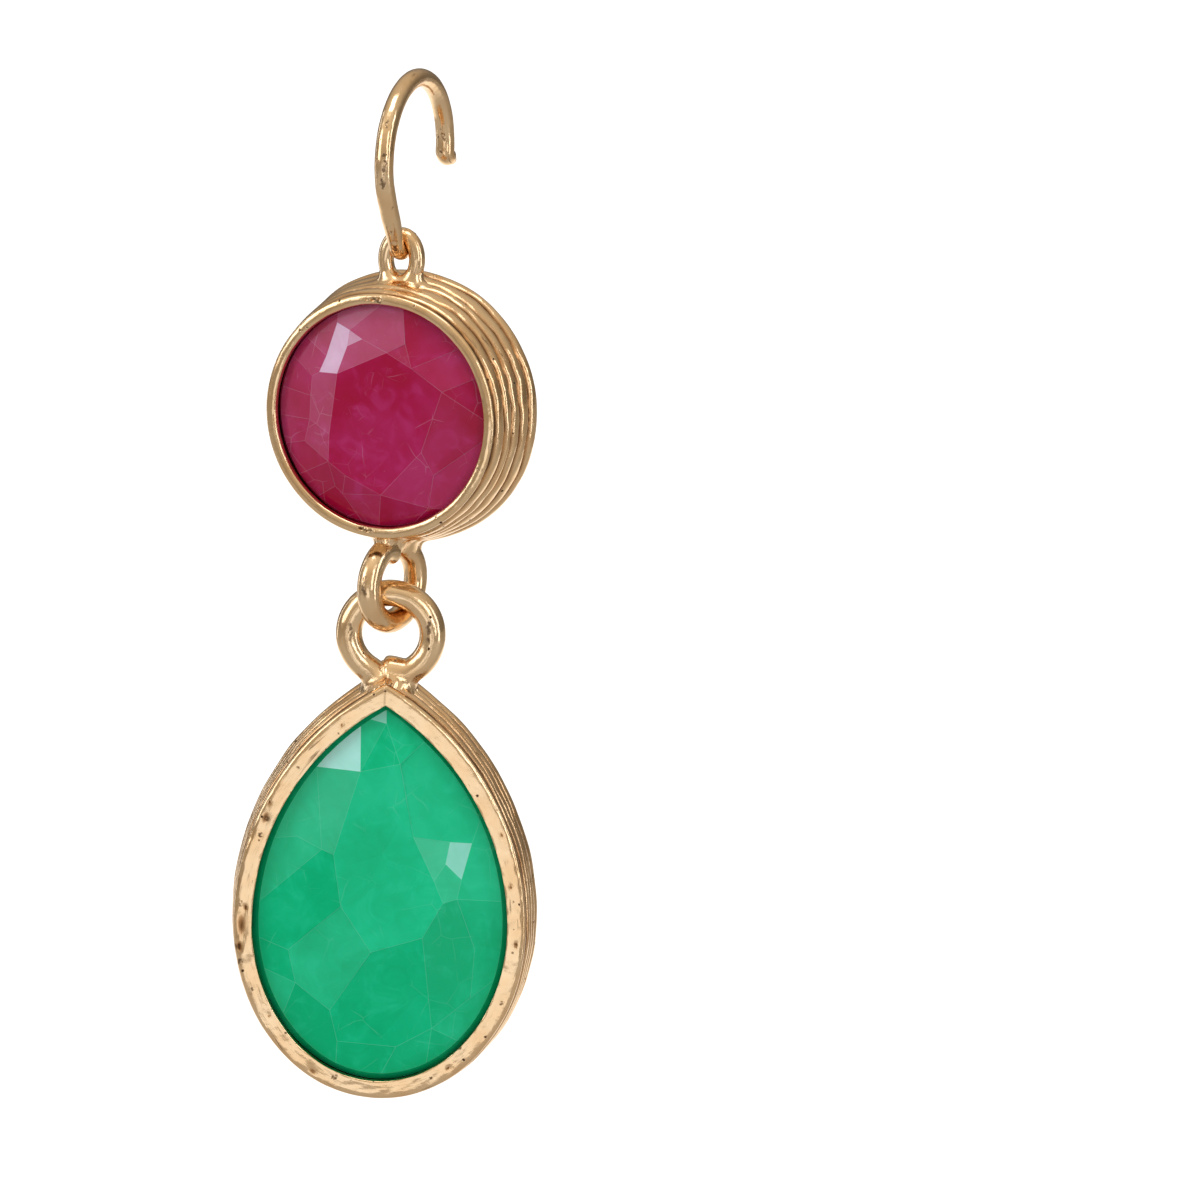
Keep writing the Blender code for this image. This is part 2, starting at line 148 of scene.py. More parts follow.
@dataclass
class Place:
    """A drop's own frame: its origin is on the hinge, and it may be turned about +Z."""

    origin: np.ndarray
    turn_deg: float = 0.0

    def matrix(self) -> np.ndarray:
        """The turn as a 3 by 3 matrix."""
        c, s = cos(radians(self.turn_deg)), sin(radians(self.turn_deg))
        return np.array(((c, -s, 0.0), (s, c, 0.0), (0.0, 0.0, 1.0)))

    def out(self, points: np.ndarray) -> np.ndarray:
        """Points of this frame, in the row's frame."""
        return points @ self.matrix().T + self.origin


def joint_place(name: str, turn_deg: float = 0.0) -> Place:
    """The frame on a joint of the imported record."""
    joint = next(each for each in frame["joints"] if each["name"] == name)
    return Place(np.array(joint["pos_m"], float), turn_deg)


# Meshes.


def add_to_scene(name: str, data: Any) -> bpy.types.Object:
    """Make an object of a mesh, a lamp or a camera.

    Args:
        name: The object's name.
        data: What it shows.

    Returns:
        The new object.
    """
    thing = bpy.data.objects.new(name, data)
    bpy.context.scene.collection.objects.link(thing)
    return thing


def closed_mesh(name: str, points: np.ndarray, faces: list[list[int]]) -> bpy.types.Mesh:
    """Make a smooth mesh whose faces all look outwards.

    Args:
        name: The mesh's name.
        points: Its vertices.
        faces: The vertices of each face, wound either way.

    Returns:
        The new mesh.
    """
    mesh = bpy.data.meshes.new(name)
    mesh.from_pydata(points.tolist(), [], faces)
    bm = bmesh.new()
    bm.from_mesh(mesh)
    bmesh.ops.recalc_face_normals(bm, faces=bm.faces)
    bm.to_mesh(mesh)
    bm.free()
    mesh.shade_smooth()
    return mesh


def add_values(mesh: bpy.types.Mesh, name: str, domain: str, values: np.ndarray) -> None:
    """Store a number or a vector for each vertex or face.

    Args:
        mesh: The mesh.
        name: What materials find the values by.
        domain: POINT or FACE.
        values: A row of numbers, or of vectors.
    """
    kind, key = ("FLOAT", "value") if values.ndim == 1 else ("FLOAT_VECTOR", "vector")
    stored = mesh.attributes.new(name, kind, domain)
    stored.data.foreach_set(key, values.astype(np.float32).ravel())


@dataclass
class Skin:
    """A closed metal skin over a grid of points.

    grid holds the points by row and column, and dark how deep in a groove each one lies,
    from 0 to 1. turned says that the metal was drawn along the rows, not across them, and
    plain_end that the last row's face has no drawn marks.
    """

    grid: np.ndarray
    dark: np.ndarray
    turned: bool = False
    plain_end: bool = False

    def faces(self) -> list[list[int]]:
        """Work out the faces.

        Returns:
            The grid's four-sided faces, and one face over each open end.
        """
        rows, columns = self.grid.shape[:2]
        index = np.arange(rows * columns).reshape(rows, columns)
        across = np.roll(index, -1, axis=1)
        quads = np.stack((index[:-1], across[:-1], across[1:], index[1:]), axis=-1)
        return [*quads.reshape(-1, 4).tolist(), index[0][::-1].tolist(), index[-1].tolist()]

    def course(self) -> np.ndarray:
        """Work out where the points lie on the drawn metal.

        Returns:
            How far each point lies along and across it, in mm, and 0.
        """
        ways = [
            np.cumsum(np.linalg.norm(np.diff(self.grid, axis=axis, prepend=start), axis=-1), axis)
            for axis, start in enumerate((self.grid[:1], self.grid[:, :1]))
        ]
        if self.turned:
            ways.reverse()
        course = np.stack((*ways, np.zeros(self.dark.shape)), axis=-1) / MM
        if self.plain_end:
            course[-1] = 0.0
        return course.reshape(-1, 3)

    def make(
        self, name: str, material: bpy.types.Material, body: str, slot: str,
        crease_deg: float = 50.0,
    ) -> bpy.types.Object:
        """Make the piece and let it ride.

        Args:
            name: The piece's name.
            material: Its finish.
            body: The body that it moves with.
            slot: The record's material slot; not used.
            crease_deg: The angle from which an edge stays sharp.

        Returns:
            The new object.
        """
        mesh = closed_mesh(name, self.grid.reshape(-1, 3), self.faces())
        add_values(mesh, "dark", "POINT", self.dark.reshape(-1))
        add_values(mesh, "course", "POINT", self.course())
        mesh.set_sharp_from_angle(angle=radians(crease_deg))
        return add_piece(name, mesh, material, body)


def add_piece(
    name: str, mesh: bpy.types.Mesh, material: bpy.types.Material, body: str
) -> bpy.types.Object:
    """Make an object of a mesh, dress it and let it ride on a body.

    Args:
        name: The piece's name.
        mesh: Its mesh, in the row's frame.
        material: Its finish.
        body: The body that it moves with.

    Returns:
        The new object.
    """
    piece = add_to_scene(name, mesh)
    mesh.materials.append(material)
    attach(piece, body)
    LOG.info("%s: %d faces on %s", name, len(mesh.polygons), body)
    return piece


# Forms that solder flows between.


class Form(Protocol):
    """Anything that says how far points lie from its skin."""

    def distance(self, points: np.ndarray) -> np.ndarray:
        """Distance from each point to the skin, negative inside."""


@dataclass
class WireForm:
    """A wire along a line of points."""

    line: np.ndarray
    radii: np.ndarray

    def distance(self, points: np.ndarray) -> np.ndarray:
        """Distance from each point to the wire's skin.

        Args:
            points: Places, one row each.

        Returns:
            One distance each, negative inside.
        """
        best = np.full(len(points), 1.0)
        for start, end, first, last in zip(
            self.line, self.line[1:], self.radii, self.radii[1:]
        ):
            way = end - start
            share = np.clip((points - start) @ way / (way @ way), 0.0, 1.0)
            gap = np.linalg.norm(points - start - share[:, None] * way, axis=1)
            best = np.minimum(best, gap - first - (last - first) * share)
        return best


def blended(first: np.ndarray, second: np.ndarray, reach: float) -> np.ndarray:
    """Distance to two forms joined by a fillet of the given reach."""
    share = np.clip(reach - np.abs(first - second), 0.0, None) / reach
    return np.minimum(first, second) - share * share * reach / 4


def solder(points: np.ndarray, normals: np.ndarray, other: Form, reach: float) -> np.ndarray:
    """Push a skin outwards to where solder fills the corner with another form.

    Args:
        points: The skin's points.
        normals: Its outward normals.
        other: The form that it is soldered to.
        reach: How far the fillet reaches.

    Returns:
        How far each point moves along its normal.
    """
    gap = other.distance(points)
    moved = np.zeros(len(points))
    chosen = np.flatnonzero((gap > -reach) & (gap < reach))
    if len(chosen) == 0:
        return moved
    rounds, haste = 14, 0.9
    steps = np.zeros(len(chosen))
    for _ in range(rounds):
        ahead = other.distance(points[chosen] + steps[:, None] * normals[chosen])
        steps = np.clip(steps - haste * blended(steps, ahead, reach), 0.0, reach)
    moved[chosen] = steps
    return moved


def sweep(
    line: np.ndarray, radii: np.ndarray, across: np.ndarray, sides: int
) -> tuple[np.ndarray, np.ndarray]:
    """Rings of points round a line that lies in one plane.

    Args:
        line: The centre line.
        radii: The wire's radius at each of its points.
        across: The unit vector square to its plane.
        sides: Points in a ring.

    Returns:
        The points and their outward normals, by place and side.
    """
    ways = unit(np.gradient(line, axis=0))
    outward = np.cross(across, ways)
    turns = 2 * pi * np.arange(sides) / sides
    normals = (
        np.cos(turns)[None, :, None] * across[None, None, :]
        + np.sin(turns)[None, :, None] * outward[:, None, :]
    )
    return line[:, None, :] + radii[:, None, None] * normals, normals


def rounded_ends(
    line: np.ndarray, radii: np.ndarray, both: bool = True
) -> tuple[np.ndarray, np.ndarray]:
    """Lengthen a wire's line so that its ends are cut square with a rounded rim.

    Args:
        line: The centre line.
        radii: The wire's radius at each point.
        both: Whether its last end is finished too, not only its first.

    Returns:
        The longer line and its radii.
    """
    shrink = np.array((0.45, 0.72, 0.88, 0.97))
    beyond = np.array((0.44, 0.38, 0.28, 0.14))
    for wanted in (True, both):
        if wanted:
            way = unit(line[0] - line[1])
            line = np.vstack((line[0] + way * (beyond * radii[0])[:, None], line))
            radii = np.concatenate((shrink * radii[0], radii))
        line, radii = line[::-1], radii[::-1]
    return line, radii


# Shader maths.


class Value:
    """A socket in a node tree that takes part in Python expressions."""

    def __init__(self, graph: Graph, socket: bpy.types.NodeSocket | None) -> None:
        """Wrap a socket of a graph."""
        self.graph = graph
        self.socket = socket

    def _maths(self, operation: str, first: Any, second: Any) -> Value:
        """Add a Math node, or a Vector Math node where this socket is a vector.

        Args:
            operation: What the node does.
            first: Its first input.
            second: Its second input.

        Returns:
            The result.
        """
        kind = "ShaderNodeMath"
        if self.socket.type in ("VECTOR", "RGBA"):
            kind = "ShaderNodeVectorMath"
        return self.graph.node(kind, {"operation": operation}, {0: first, 1: second})

    def __add__(self, other: Any) -> Value:
        """Sum."""
        return self._maths("ADD", self, other)

    def __sub__(self, other: Any) -> Value:
        """Difference."""
        return self._maths("SUBTRACT", self, other)

    def __mul__(self, other: Any) -> Value:
        """Product."""
        return self._maths("MULTIPLY", self, other)

    def __pow__(self, other: Any) -> Value:
        """Power."""
        return self._maths("POWER", self, other)

    def step(self, low: float, high: float) -> Value:
        """Smooth step: 0 at low and 1 at high, or the other way round.

        Args:
            low: Where it is 0.
            high: Where it is 1.

        Returns:
            From 0 to 1.
        """
        sockets = {"Value": self, "From Min": low, "From Max": high}
        return self.graph.node(
            "ShaderNodeMapRange", {"interpolation_type": "SMOOTHSTEP"}, sockets
        )

    def distance(self, place: Sequence[float]) -> Value:
        """Distance of this vector from a fixed place.

        Args:
            place: The fixed place.

        Returns:
            The distance.
        """
        return self.graph.node(
            "ShaderNodeVectorMath", {"operation": "DISTANCE"}, {0: self, 1: tuple(place)},
            "Value",
        )


class Graph:
    """A material's or a world's node tree."""

    def __init__(self, owner: bpy.types.Material | bpy.types.World) -> None:
        """Empty the owner's tree.

        Args:
            owner: The material or the world.
        """
        owner.use_nodes = True
        self.tree = owner.node_tree
        self.tree.nodes.clear()

    def node(
        self, kind: str, settings: dict[str, Any] | None = None,
        sockets: dict[str | int, Any] | None = None, output: str | int = 0,
    ) -> Value:
        """Add a node.

        Args:
            kind: The node's type.
            settings: Its properties, which are set first.
            sockets: Values or links for its inputs.
            output: The output to give back.

        Returns:
            The chosen output, which is empty where the node has none.
        """
        made = self.tree.nodes.new(kind)
        for name, value in (settings or {}).items():
            setattr(made, name, value)
        for key, value in (sockets or {}).items():
            if isinstance(value, Value):
                self.tree.links.new(value.socket, made.inputs[key])
            else:
                made.inputs[key].default_value = value
        return Value(self, made.outputs[output] if made.outputs else None)

    def mix(self, factor: Any, first: Any, second: Any, blend: str = "MIX") -> Value:
        """Mix two colours.

        Args:
            factor: Share of the second.
            first: A colour or its link.
            second: The other.
            blend: How they are blended.

        Returns:
            The mixed colour.
        """
        return self.node(
            "ShaderNodeMix", {"data_type": "RGBA", "blend_type": blend},
            {0: factor, 6: opaque(first), 7: opaque(second)}, 2,
        )

    def noise(
        self, place: Value, scale: float, detail: float = 2.0, distortion: float = 0.0,
        output: str | int = 0,
    ) -> Value:
        """Noise texture over a place, with scale in waves per millimetre."""
        sockets = {"Vector": place, "Scale": scale, "Detail": detail, "Distortion": distortion}
        return self.node("ShaderNodeTexNoise", None, sockets, output)

    def cells(self, place: Value, scale: float, feature: str, output: str) -> Value:
        """Voronoi texture over a place.

        Args:
            place: Where the surface lies.
            scale: Cells per millimetre.
            feature: What is measured in each cell.
            output: The output to give back.

        Returns:
            That output.
        """
        return self.node(
            "ShaderNodeTexVoronoi", {"feature": feature}, {"Vector": place, "Scale": scale},
            output,
        )

    def attribute(self, name: str, output: str = "Fac") -> Value:
        """A value that the mesh holds."""
        return self.node("ShaderNodeAttribute", {"attribute_name": name}, None, output)

    def place(self) -> Value:
        """Where the surface lies on the object, in millimetres.

        Returns:
            The place, which moves with the object.
        """
        spot = self.node("ShaderNodeTexCoord", None, None, "Object")
        return self.node(
            "ShaderNodeVectorMath", {"operation": "SCALE"}, {0: spot, "Scale": 1 / MM}
        )

    def bump(self, height: Value, depth: float, strength: float, under: Any = None) -> Value:
        """Normals bent by a height.

        Args:
            height: The height, where 1 is the full depth.
            depth: The full depth in metres.
            strength: Share of the effect.
            under: Normals to start from.

        Returns:
            The bent normals.
        """
        sockets: dict[str | int, Any] = {
            "Height": height, "Distance": depth, "Strength": strength,
        }
        if under is not None:
            sockets["Normal"] = under
        return self.node("ShaderNodeBump", None, sockets)

    def output(self, shader: Value, kind: str = "ShaderNodeOutputMaterial") -> None:
        """Link a shader to the tree's output."""
        self.node(kind, None, {"Surface": shader})


def opaque(colour: Any) -> Any:
    """A colour with its fourth value, or a link as it is."""
    return (*colour, 1.0) if isinstance(colour, tuple) and len(colour) == 3 else colour


# Finishes.


@dataclass(frozen=True)
class Blot:
    """A dark mark on the metal: its middle, its radius and how drawn out it is upward. On the
    links it is a painted dark reflection, on the hook partly so, elsewhere a tarnished spot.
    """

    place: Triple
    radius: float
    tall: float = 1.0


@dataclass(frozen=True)
class AntiquedGold:
    """Pale rose gold, polished softly, with its grooves and pits left dark."""

    name: str
    colour: Triple = (0.88, 0.615, 0.345)
    warm: Triple = (0.79, 0.465, 0.20)
    # The dark colour of tarnished metal, also used for the dark reflections painted on the hook
    # and links.
    tarnish_and_painted_dark: Triple = (0.075, 0.036, 0.016)
    roughness: float = 0.17
    speck_share: float = 0.55
    streaks: float = 0.5
    dent_depth: float = 0.00008
    scratch_depth: float = 0.00001
    # Dark marks: tarnished spots, and along the hook and links painted dark reflections.
    blots: tuple[Blot, ...] = ()

    def make(self) -> bpy.types.Material:
        """Make the material.

        Returns:
            The new material.
        """
        material = bpy.data.materials.new(self.name)
        graph = Graph(material)
        place = graph.place()
        course = graph.attribute("course", "Vector")
        groove = graph.attribute("dark")
        grain = graph.noise(place, 4.5, 3.0)
        cloud = graph.noise(place, 0.55, 3.0).step(0.35, 0.75)
        colour = graph.mix(cloud * 0.55, self.colour, self.warm)
        colour = graph.mix(groove.step(0.05, 0.75) * 0.80, colour, self.warm, "MULTIPLY")
        tarnish_and_dark_reflection = self._tarnish_and_dark_reflection(graph, place, course, groove, grain)
        # Darkens the colour where the metal is tarnished and where dark reflections are painted.
        colour = graph.mix(tarnish_and_dark_reflection, colour, self.tarnish_and_painted_dark)
        rough = graph.noise(place, 1.3, 4.0) * 0.16 + (self.roughness - 0.08)
        rough = rough + tarnish_and_dark_reflection * 0.30 + groove * 0.08
        dents = graph.noise(place, 1.0, 2.0) + grain * 0.08
        normal = graph.bump(dents, self.dent_depth, 0.55)
        scratches = graph.noise(course * (1.2, 9.0, 1.0), 1.0, 3.0) - tarnish_and_dark_reflection * 2.5
        normal = graph.bump(scratches, self.scratch_depth, 0.6, normal)
        shader = graph.node("ShaderNodeBsdfPrincipled", None, {
            "Base Color": colour, "Roughness": rough, "Metallic": 1.0, "Normal": normal,
        })
        graph.output(shader)
        return material

    def _tarnish_and_dark_reflection(
        self, graph: Graph, place: Value, course: Value, groove: Value, grain: Value
    ) -> Value:
        """How dark the metal is left, in its grooves, streaks, pits and blots, where the blots on
        the hook and links are partly painted dark reflections.

        Args:
            graph: The material's nodes.
            place: Where the surface lies.
            course: Where it lies along and across the drawn metal.
            groove: How deep in a groove it lies.
            grain: Fine noise that frays the marks.

        Returns:
            From 0 for bright metal to 1 where it is darkest, tarnished or under a painted dark
            reflection.
        """
        patch = graph.noise(course * (0.55, 0.9, 1.0), 1.0, 4.0, 0.4)
        tarnish_and_dark_reflection = groove.step(0.22, 0.75) * (patch.step(0.36, 0.56) * 0.60 + 0.34)
        streak = graph.noise(course * (0.40, 4.5, 1.0), 1.0, 3.0, 0.3)
        gate = graph.noise(place, 0.45, 1.0)
        marks = [
            streak.step(0.62, 0.70) * gate.step(0.50, 0.60) * self.streaks,
            self._specks(graph, place, grain),
        ]
        ragged = graph.noise(place, 3.2, 3.0) - 0.5
        # Frays the blots' edges, the tarnished spots and the painted dark reflections alike.
        worn = grain.step(0.36, 0.56) * 0.8
        for blot in self.blots:
            radius = blot.radius / MM
            x, y, z = (part / MM for part in blot.place)
            away = (place * (1.0, 1.0, 1.0 / blot.tall)).distance((x, y, z / blot.tall))
            spot = (away + ragged * (2.2 * radius)).step(radius, 0.45 * radius)
            marks.append(spot * worn)
        for mark in marks:
            tarnish_and_dark_reflection = graph.node("ShaderNodeMath", {"operation": "MAXIMUM"}, {0: tarnish_and_dark_reflection, 1: mark})
        return tarnish_and_dark_reflection

    def _specks(self, graph: Graph, place: Value, grain: Value) -> Value:
        """Small dark pits, scattered.

        Args:
            graph: The material's nodes.
            place: Where the surface lies.
            grain: Fine noise that frays them.

        Returns:
            1 in a pit and 0 elsewhere.
        """
        spots = graph.cells(place, 1.25, "F1", "Distance")
        pick = graph.node(
            "ShaderNodeSeparateColor", None, {0: graph.cells(place, 1.25, "F1", "Color")}
        )
        left = 1.0 - self.speck_share
        return (spots + (grain - 0.5) * 0.16).step(0.13, 0.06) * pick.step(left, left + 0.001)


@dataclass(frozen=True)
class MilkyStone:
    """A cloudy stone with faint pale threads and specks inside, and light painted on its facets:
    a painted sheen for reflections, paleness that is partly painted light, and a painted
    highlight along worn edges.
    """

    name: str
    colour: Triple
    deep: Triple
    milk: Triple
    sheen: Triple
    ior: float
    clouds: float
    threads: float
    glow: Triple

    def make(self) -> bpy.types.Material:
        """Make the material.

        Returns:
            The new material.
        """
        material = bpy.data.materials.new(self.name)
        graph = Graph(material)
        place = graph.place()
        facet = graph.attribute("facet", "Vector")
        # The facet's paleness, partly the stone's own milky tone and partly painted light; its
        # painted sheen; and 1 on its worn edges, where a highlight is painted.
        pale, sheen, edge = (
            graph.node("ShaderNodeSeparateXYZ", None, {0: facet}, name) for name in "XYZ"
        )
        cloud = graph.noise(place, 0.22, 4.0, 0.5)
        wisp = graph.noise(place, 0.70, 5.0, 1.4)
        ghost = graph.node(
            "ShaderNodeSeparateColor", None, {0: graph.cells(place, 0.30, "F1", "Color")}
        )
        # Each facet's paleness sets its tone: partly the stone's own milky zones, partly light
        # painted onto the facet.
        share = pale + (cloud - 0.5) * 1.4 + (wisp - 0.5) * 1.2 + (ghost - 0.5) * 0.3
        share = graph.node("ShaderNodeClamp", None, {"Value": share})
        colour = graph.mix(share, self.deep, self.colour)
        milky = cloud.step(0.42, 0.72) + wisp.step(0.50, 0.72) * 0.9
        colour = graph.mix(milky * self.clouds, colour, self.milk)
        # Painted sheen: a reflection painted into each facet's colour, a little uneven.
        painted_sheen = sheen ** 1.2 * (graph.noise(place, 0.8, 3.0, 1.0) * 0.5 + 0.75)
        colour = graph.mix(painted_sheen, colour, self.sheen)
        bent = place + graph.noise(place, 0.32, 2.0, 0.0, 1) * (0.9, 0.9, 0.9)
        thread = graph.cells(bent, 0.40, "DISTANCE_TO_EDGE", "Distance").step(0.013, 0.003)
        thread = thread * graph.noise(place, 0.45, 2.0).step(0.50, 0.62)
        fine = graph.cells(bent, 1.1, "DISTANCE_TO_EDGE", "Distance").step(0.018, 0.004)
        fine = fine * graph.noise(place, 0.8, 2.0).step(0.56, 0.66)
        dust = graph.cells(place, 2.3, "F1", "Distance").step(0.07, 0.03)
        dust = dust * graph.noise(place, 0.9, 1.0).step(0.52, 0.62)
        marks = (thread + fine * 0.6) * self.threads + dust * (self.threads * 1.6)
        colour = graph.mix(marks, colour, self.sheen)
        # A painted highlight line along each facet's worn edge.
        colour = graph.mix(edge * 0.12, colour, self.sheen)
        rough = graph.noise(place, 0.9, 3.0) * 0.06 + 0.05 + edge * 0.12
        normal = graph.bump(graph.noise(place, 1.4, 3.0), 0.000012, 0.30)
        shader = graph.node("ShaderNodeBsdfPrincipled", None, {
            "Base Color": colour, "Roughness": rough, "Normal": normal, "IOR": self.ior,
            "Specular IOR Level": 0.15,
            "Subsurface Weight": 0.15, "Subsurface Radius": self.glow,
            "Subsurface Scale": 0.0005,
        })
        graph.output(shader)
        return material


@dataclass(frozen=True)
class PaleFloor:
    """A plain pale floor that glows where it is the backdrop."""

    way_deg: float
    colour: Triple = (0.56, 0.555, 0.55)
    worn: Triple = (0.51, 0.51, 0.51)
    middle: float = 1.50
    long: float = 1.50
    wide: float = 0.46

    def make(self) -> bpy.types.Material:
        """Make the material.

        Returns:
            The new material.
        """
        material = bpy.data.materials.new("pale_floor")
        graph = Graph(material)
        place = graph.place()
        turn = radians(self.way_deg)
        along = Vector((-sin(turn), cos(turn), 0.0))
        across = Vector((cos(turn), sin(turn), 0.0))
        far = self._dot(graph, place, along / self.long * MM) - self.middle / self.long
        side = self._dot(graph, place, across / self.wide * MM)
        reach = (far * far) ** 2.0 + (side * side) ** 2.0
        glow = reach.step(1.0, 0.45)
        shade = graph.noise(place, 0.004, 2.0)
        colour = graph.mix(shade.step(0.3, 0.8) * 0.05, self.colour, self.worn)
        light = graph.mix(glow, (0.0, 0.0, 0.0), (1.0, 1.0, 1.0))
        shader = graph.node("ShaderNodeBsdfPrincipled", None, {
            "Base Color": colour, "Roughness": 0.9, "Emission Color": light,
            "Emission Strength": 0.85,
        })
        graph.output(shader)
        return material

    def _dot(self, graph: Graph, place: Value, way: Vector) -> Value:
        """How far a place lies along a direction.

        Args:
            graph: The material's nodes.
            place: The place.
            way: The direction, whose length scales the result.

        Returns:
            The scaled length.
        """
        return graph.node(
            "ShaderNodeVectorMath", {"operation": "DOT_PRODUCT"}, {0: place, 1: tuple(way)},
            "Value",
        )


# Wires.


@dataclass
class EarHook:
    """Open hook of round wire, thinner at the eye that holds the top ring."""

    wire: float = 0.00103
    eye_wire: float = 0.00084
    eye_radius: float = 0.00092
    eye_end_deg: float = -5.0
    lean_deg: float = 25.0
    arch_radius: float = 0.00420
    arch_rise: float = 0.00420
    setback: float = 0.00142
    tail_turn_deg: float = 2.0
    tail_reach: float = 0.00090
    tail_drop: float = 0.00058
    flick_deg: float = 32.0
    ball: float = 0.00060
    dent: float = 0.000011
    grain: float = 0.000005
    sides: int = 32
    steps: int = 40

    def line(self) -> tuple[np.ndarray, np.ndarray]:
        """Work out the wire, from the eye's end to the tail's tip.

        Returns:
            The centre line, and the radius at each of its points.
        """
        eye = np.radians(np.linspace(self.eye_end_deg, self.lean_deg - 180.0, 2 * self.steps))
        parts = [self.eye_radius * self._flat(np.cos(eye), np.sin(eye))]
        lean = radians(self.lean_deg)
        middle = self._flat(self.setback, self.arch_rise)
        front = middle - self._flat(self.arch_radius, 0.0)
        way = self._flat(-sin(lean), cos(lean))
        parts.append(self._bend(parts[0][-1], way, front, self._flat(0.0, 1.0)))
        turn = np.linspace(pi, -radians(self.tail_turn_deg), 3 * self.steps)[1:]
        parts.append(middle + self.arch_radius * self._flat(np.cos(turn), np.sin(turn)))
        tail = radians(self.tail_turn_deg)
        flick = radians(self.flick_deg)
        start = parts[-1][-1]
        tip = start + self._flat(self.tail_reach, -self.tail_drop)
        tip_way = self._flat(cos(flick), -sin(flick))
        parts.append(self._bend(start, self._flat(-sin(tail), -cos(tail)), tip, tip_way))
        radii = [np.full(len(part), self.wire / 2) for part in parts]
        share = ease(np.arange(1, len(parts[1]) + 1) / len(parts[1]), -0.10, 0.40)
        radii[0][:] = self.eye_wire / 2
        radii[1] = (self.eye_wire + (self.wire - self.eye_wire) * share) / 2
        near_tip = ease(np.arange(len(parts[3])) / len(parts[3]), 0.45, 1.0)
        radii[3] += (self.ball - self.wire) / 2 * near_tip
        turns = np.linspace(0.0, pi / 2, 10)[1:-1]
        cap = tip + tip_way * (self.ball / 2 * np.sin(turns))[:, None]
        line = np.vstack((*parts, cap))
        radii = np.concatenate((*radii, self.ball / 2 * np.cos(turns)))
        return line, radii

    def _flat(self, back: Any, up: Any) -> np.ndarray:
        """Points of the hook's plane."""
        back, up = np.broadcast_arrays(back, up)
        return np.stack((np.zeros_like(back, float), back, up), axis=-1)

    def _bend(
        self, start: np.ndarray, way: np.ndarray, end: np.ndarray, end_way: np.ndarray
    ) -> np.ndarray:
        """Points on a smooth curve between two points, the first left out.

        Args:
            start: Where it starts.
            way: The direction there.
            end: Where it ends.
            end_way: The direction there.

        Returns:
            The curve's points.
        """
        pull = np.linalg.norm(end - start) / 3
        t = np.linspace(0.0, 1.0, self.steps + 1)[1:, None]
        return (
            start * (1 - t) ** 3 + (start + way * pull) * 3 * t * (1 - t) ** 2
            + (end - end_way * pull) * 3 * t * t * (1 - t) + end * t ** 3
        )

    def build(self, place: Place, finish: bpy.types.Material) -> None:
        """Make the hook.

        Args:
            place: The frame on the upper hinge.
            finish: Its material.
        """
        line, radii = self.line()
        line, radii = rounded_ends(line, radii, both=False)
        points, normals = sweep(line, radii, X_WAY, self.sides)
        flat = points.reshape(-1, 3)
        dent = self.dent * ripple(flat, 900.0, 1) + self.grain * ripple(flat, 2600.0, 2)
        flat = flat + dent[:, None] * normals.reshape(-1, 3)
        dark = np.clip(-ripple(flat, 700.0, 3), 0.0, 1.0) * 0.35
        skin = Skin(place.out(flat).reshape(points.shape), dark.reshape(points.shape[:2]))
        hook = skin.make("ear_hook_wire", finish, "hook", "hook_gold")
        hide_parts("ear_hook")


@dataclass
class Ring:
    """A ring of round wire whose cut ends lap at its soldered joint."""

    name: str
    half_width: float
    half_height: float
    wire: float
    turn_deg: float
    drop: float
    joint: Side
    lap_deg: float
    lift: float
    ease_deg: float = 55.0
    fillet: float = 0.00080
    lump: float = 0.00004
    dent: float = 0.000012
    seed: int = 0
    sides: int = 40
    steps: int = 220

    def across(self) -> np.ndarray:
        """The unit vector square to the ring."""
        turn = radians(self.turn_deg)
        return np.array((sin(turn), -cos(turn), 0.0))

    def line(self) -> tuple[np.ndarray, np.ndarray]:
        """Work out the wire, from the end that lies on top to the other.

        Returns:
            The centre line, and the radius at each of its points.
        """
        turn = radians(self.turn_deg)
        along = np.array((cos(turn), sin(turn), 0.0))
        swing = np.linspace(-self.lap_deg, 360.0 - self.lap_deg * 0.2, self.steps)
        lifted = self.lift * (1 - ease(swing, 0.0, self.ease_deg))
        sunk = 0.5 * self.lift * ease(swing, 360.0 - self.ease_deg, 360.0)
        angle = np.radians(self.joint.value + swing)
        shrink = 1 - (lifted - sunk) / self.half_height
        flat = (
            along * (self.half_width * shrink * np.cos(angle))[:, None]
            + UP * (self.half_height * shrink * np.sin(angle))[:, None]
        )
        return flat - UP * self.drop, np.full(self.steps, self.wire / 2)

    def form(self) -> WireForm:
        """The ring as a form that solder flows to."""
        line, radii = self.line()
        return WireForm(line[::5], radii[::5])

    def build(
        self, place: Place, base: Form, finish: bpy.types.Material, body: str
    ) -> bpy.types.Object:
        """Make the ring, with solder flowing to what carries it.

        Args:
            place: The drop's frame.
            base: The setting that it is soldered to.
            finish: Its material.
            body: The body that it moves with.

        Returns:
            The new object.
        """
        line, radii = self.line()
        line, radii = rounded_ends(line, radii)
        points, normals = sweep(line, radii, self.across(), self.sides)
        flat = points.reshape(-1, 3)
        away = normals.reshape(-1, 3)
        flow = solder(flat, away, base, self.fillet)
        near = ease(base.distance(flat), 1.6 * self.fillet, 0.2 * self.fillet)
        lumps = self.lump * near * ripple(flat, 800.0, 10 + self.seed)
        dent = self.dent * ripple(flat, 800.0, 20 + self.seed)
        flat = flat + (flow + lumps + dent)[:, None] * away
        dark = np.clip(-ripple(flat, 900.0, 30 + self.seed), 0.0, 1.0) * (0.25 + 0.5 * near)
        skin = Skin(place.out(flat).reshape(points.shape), dark.reshape(points.shape[:2]))
        return skin.make(self.name, finish, body, "setting_gold", 42.0)


# Settings.


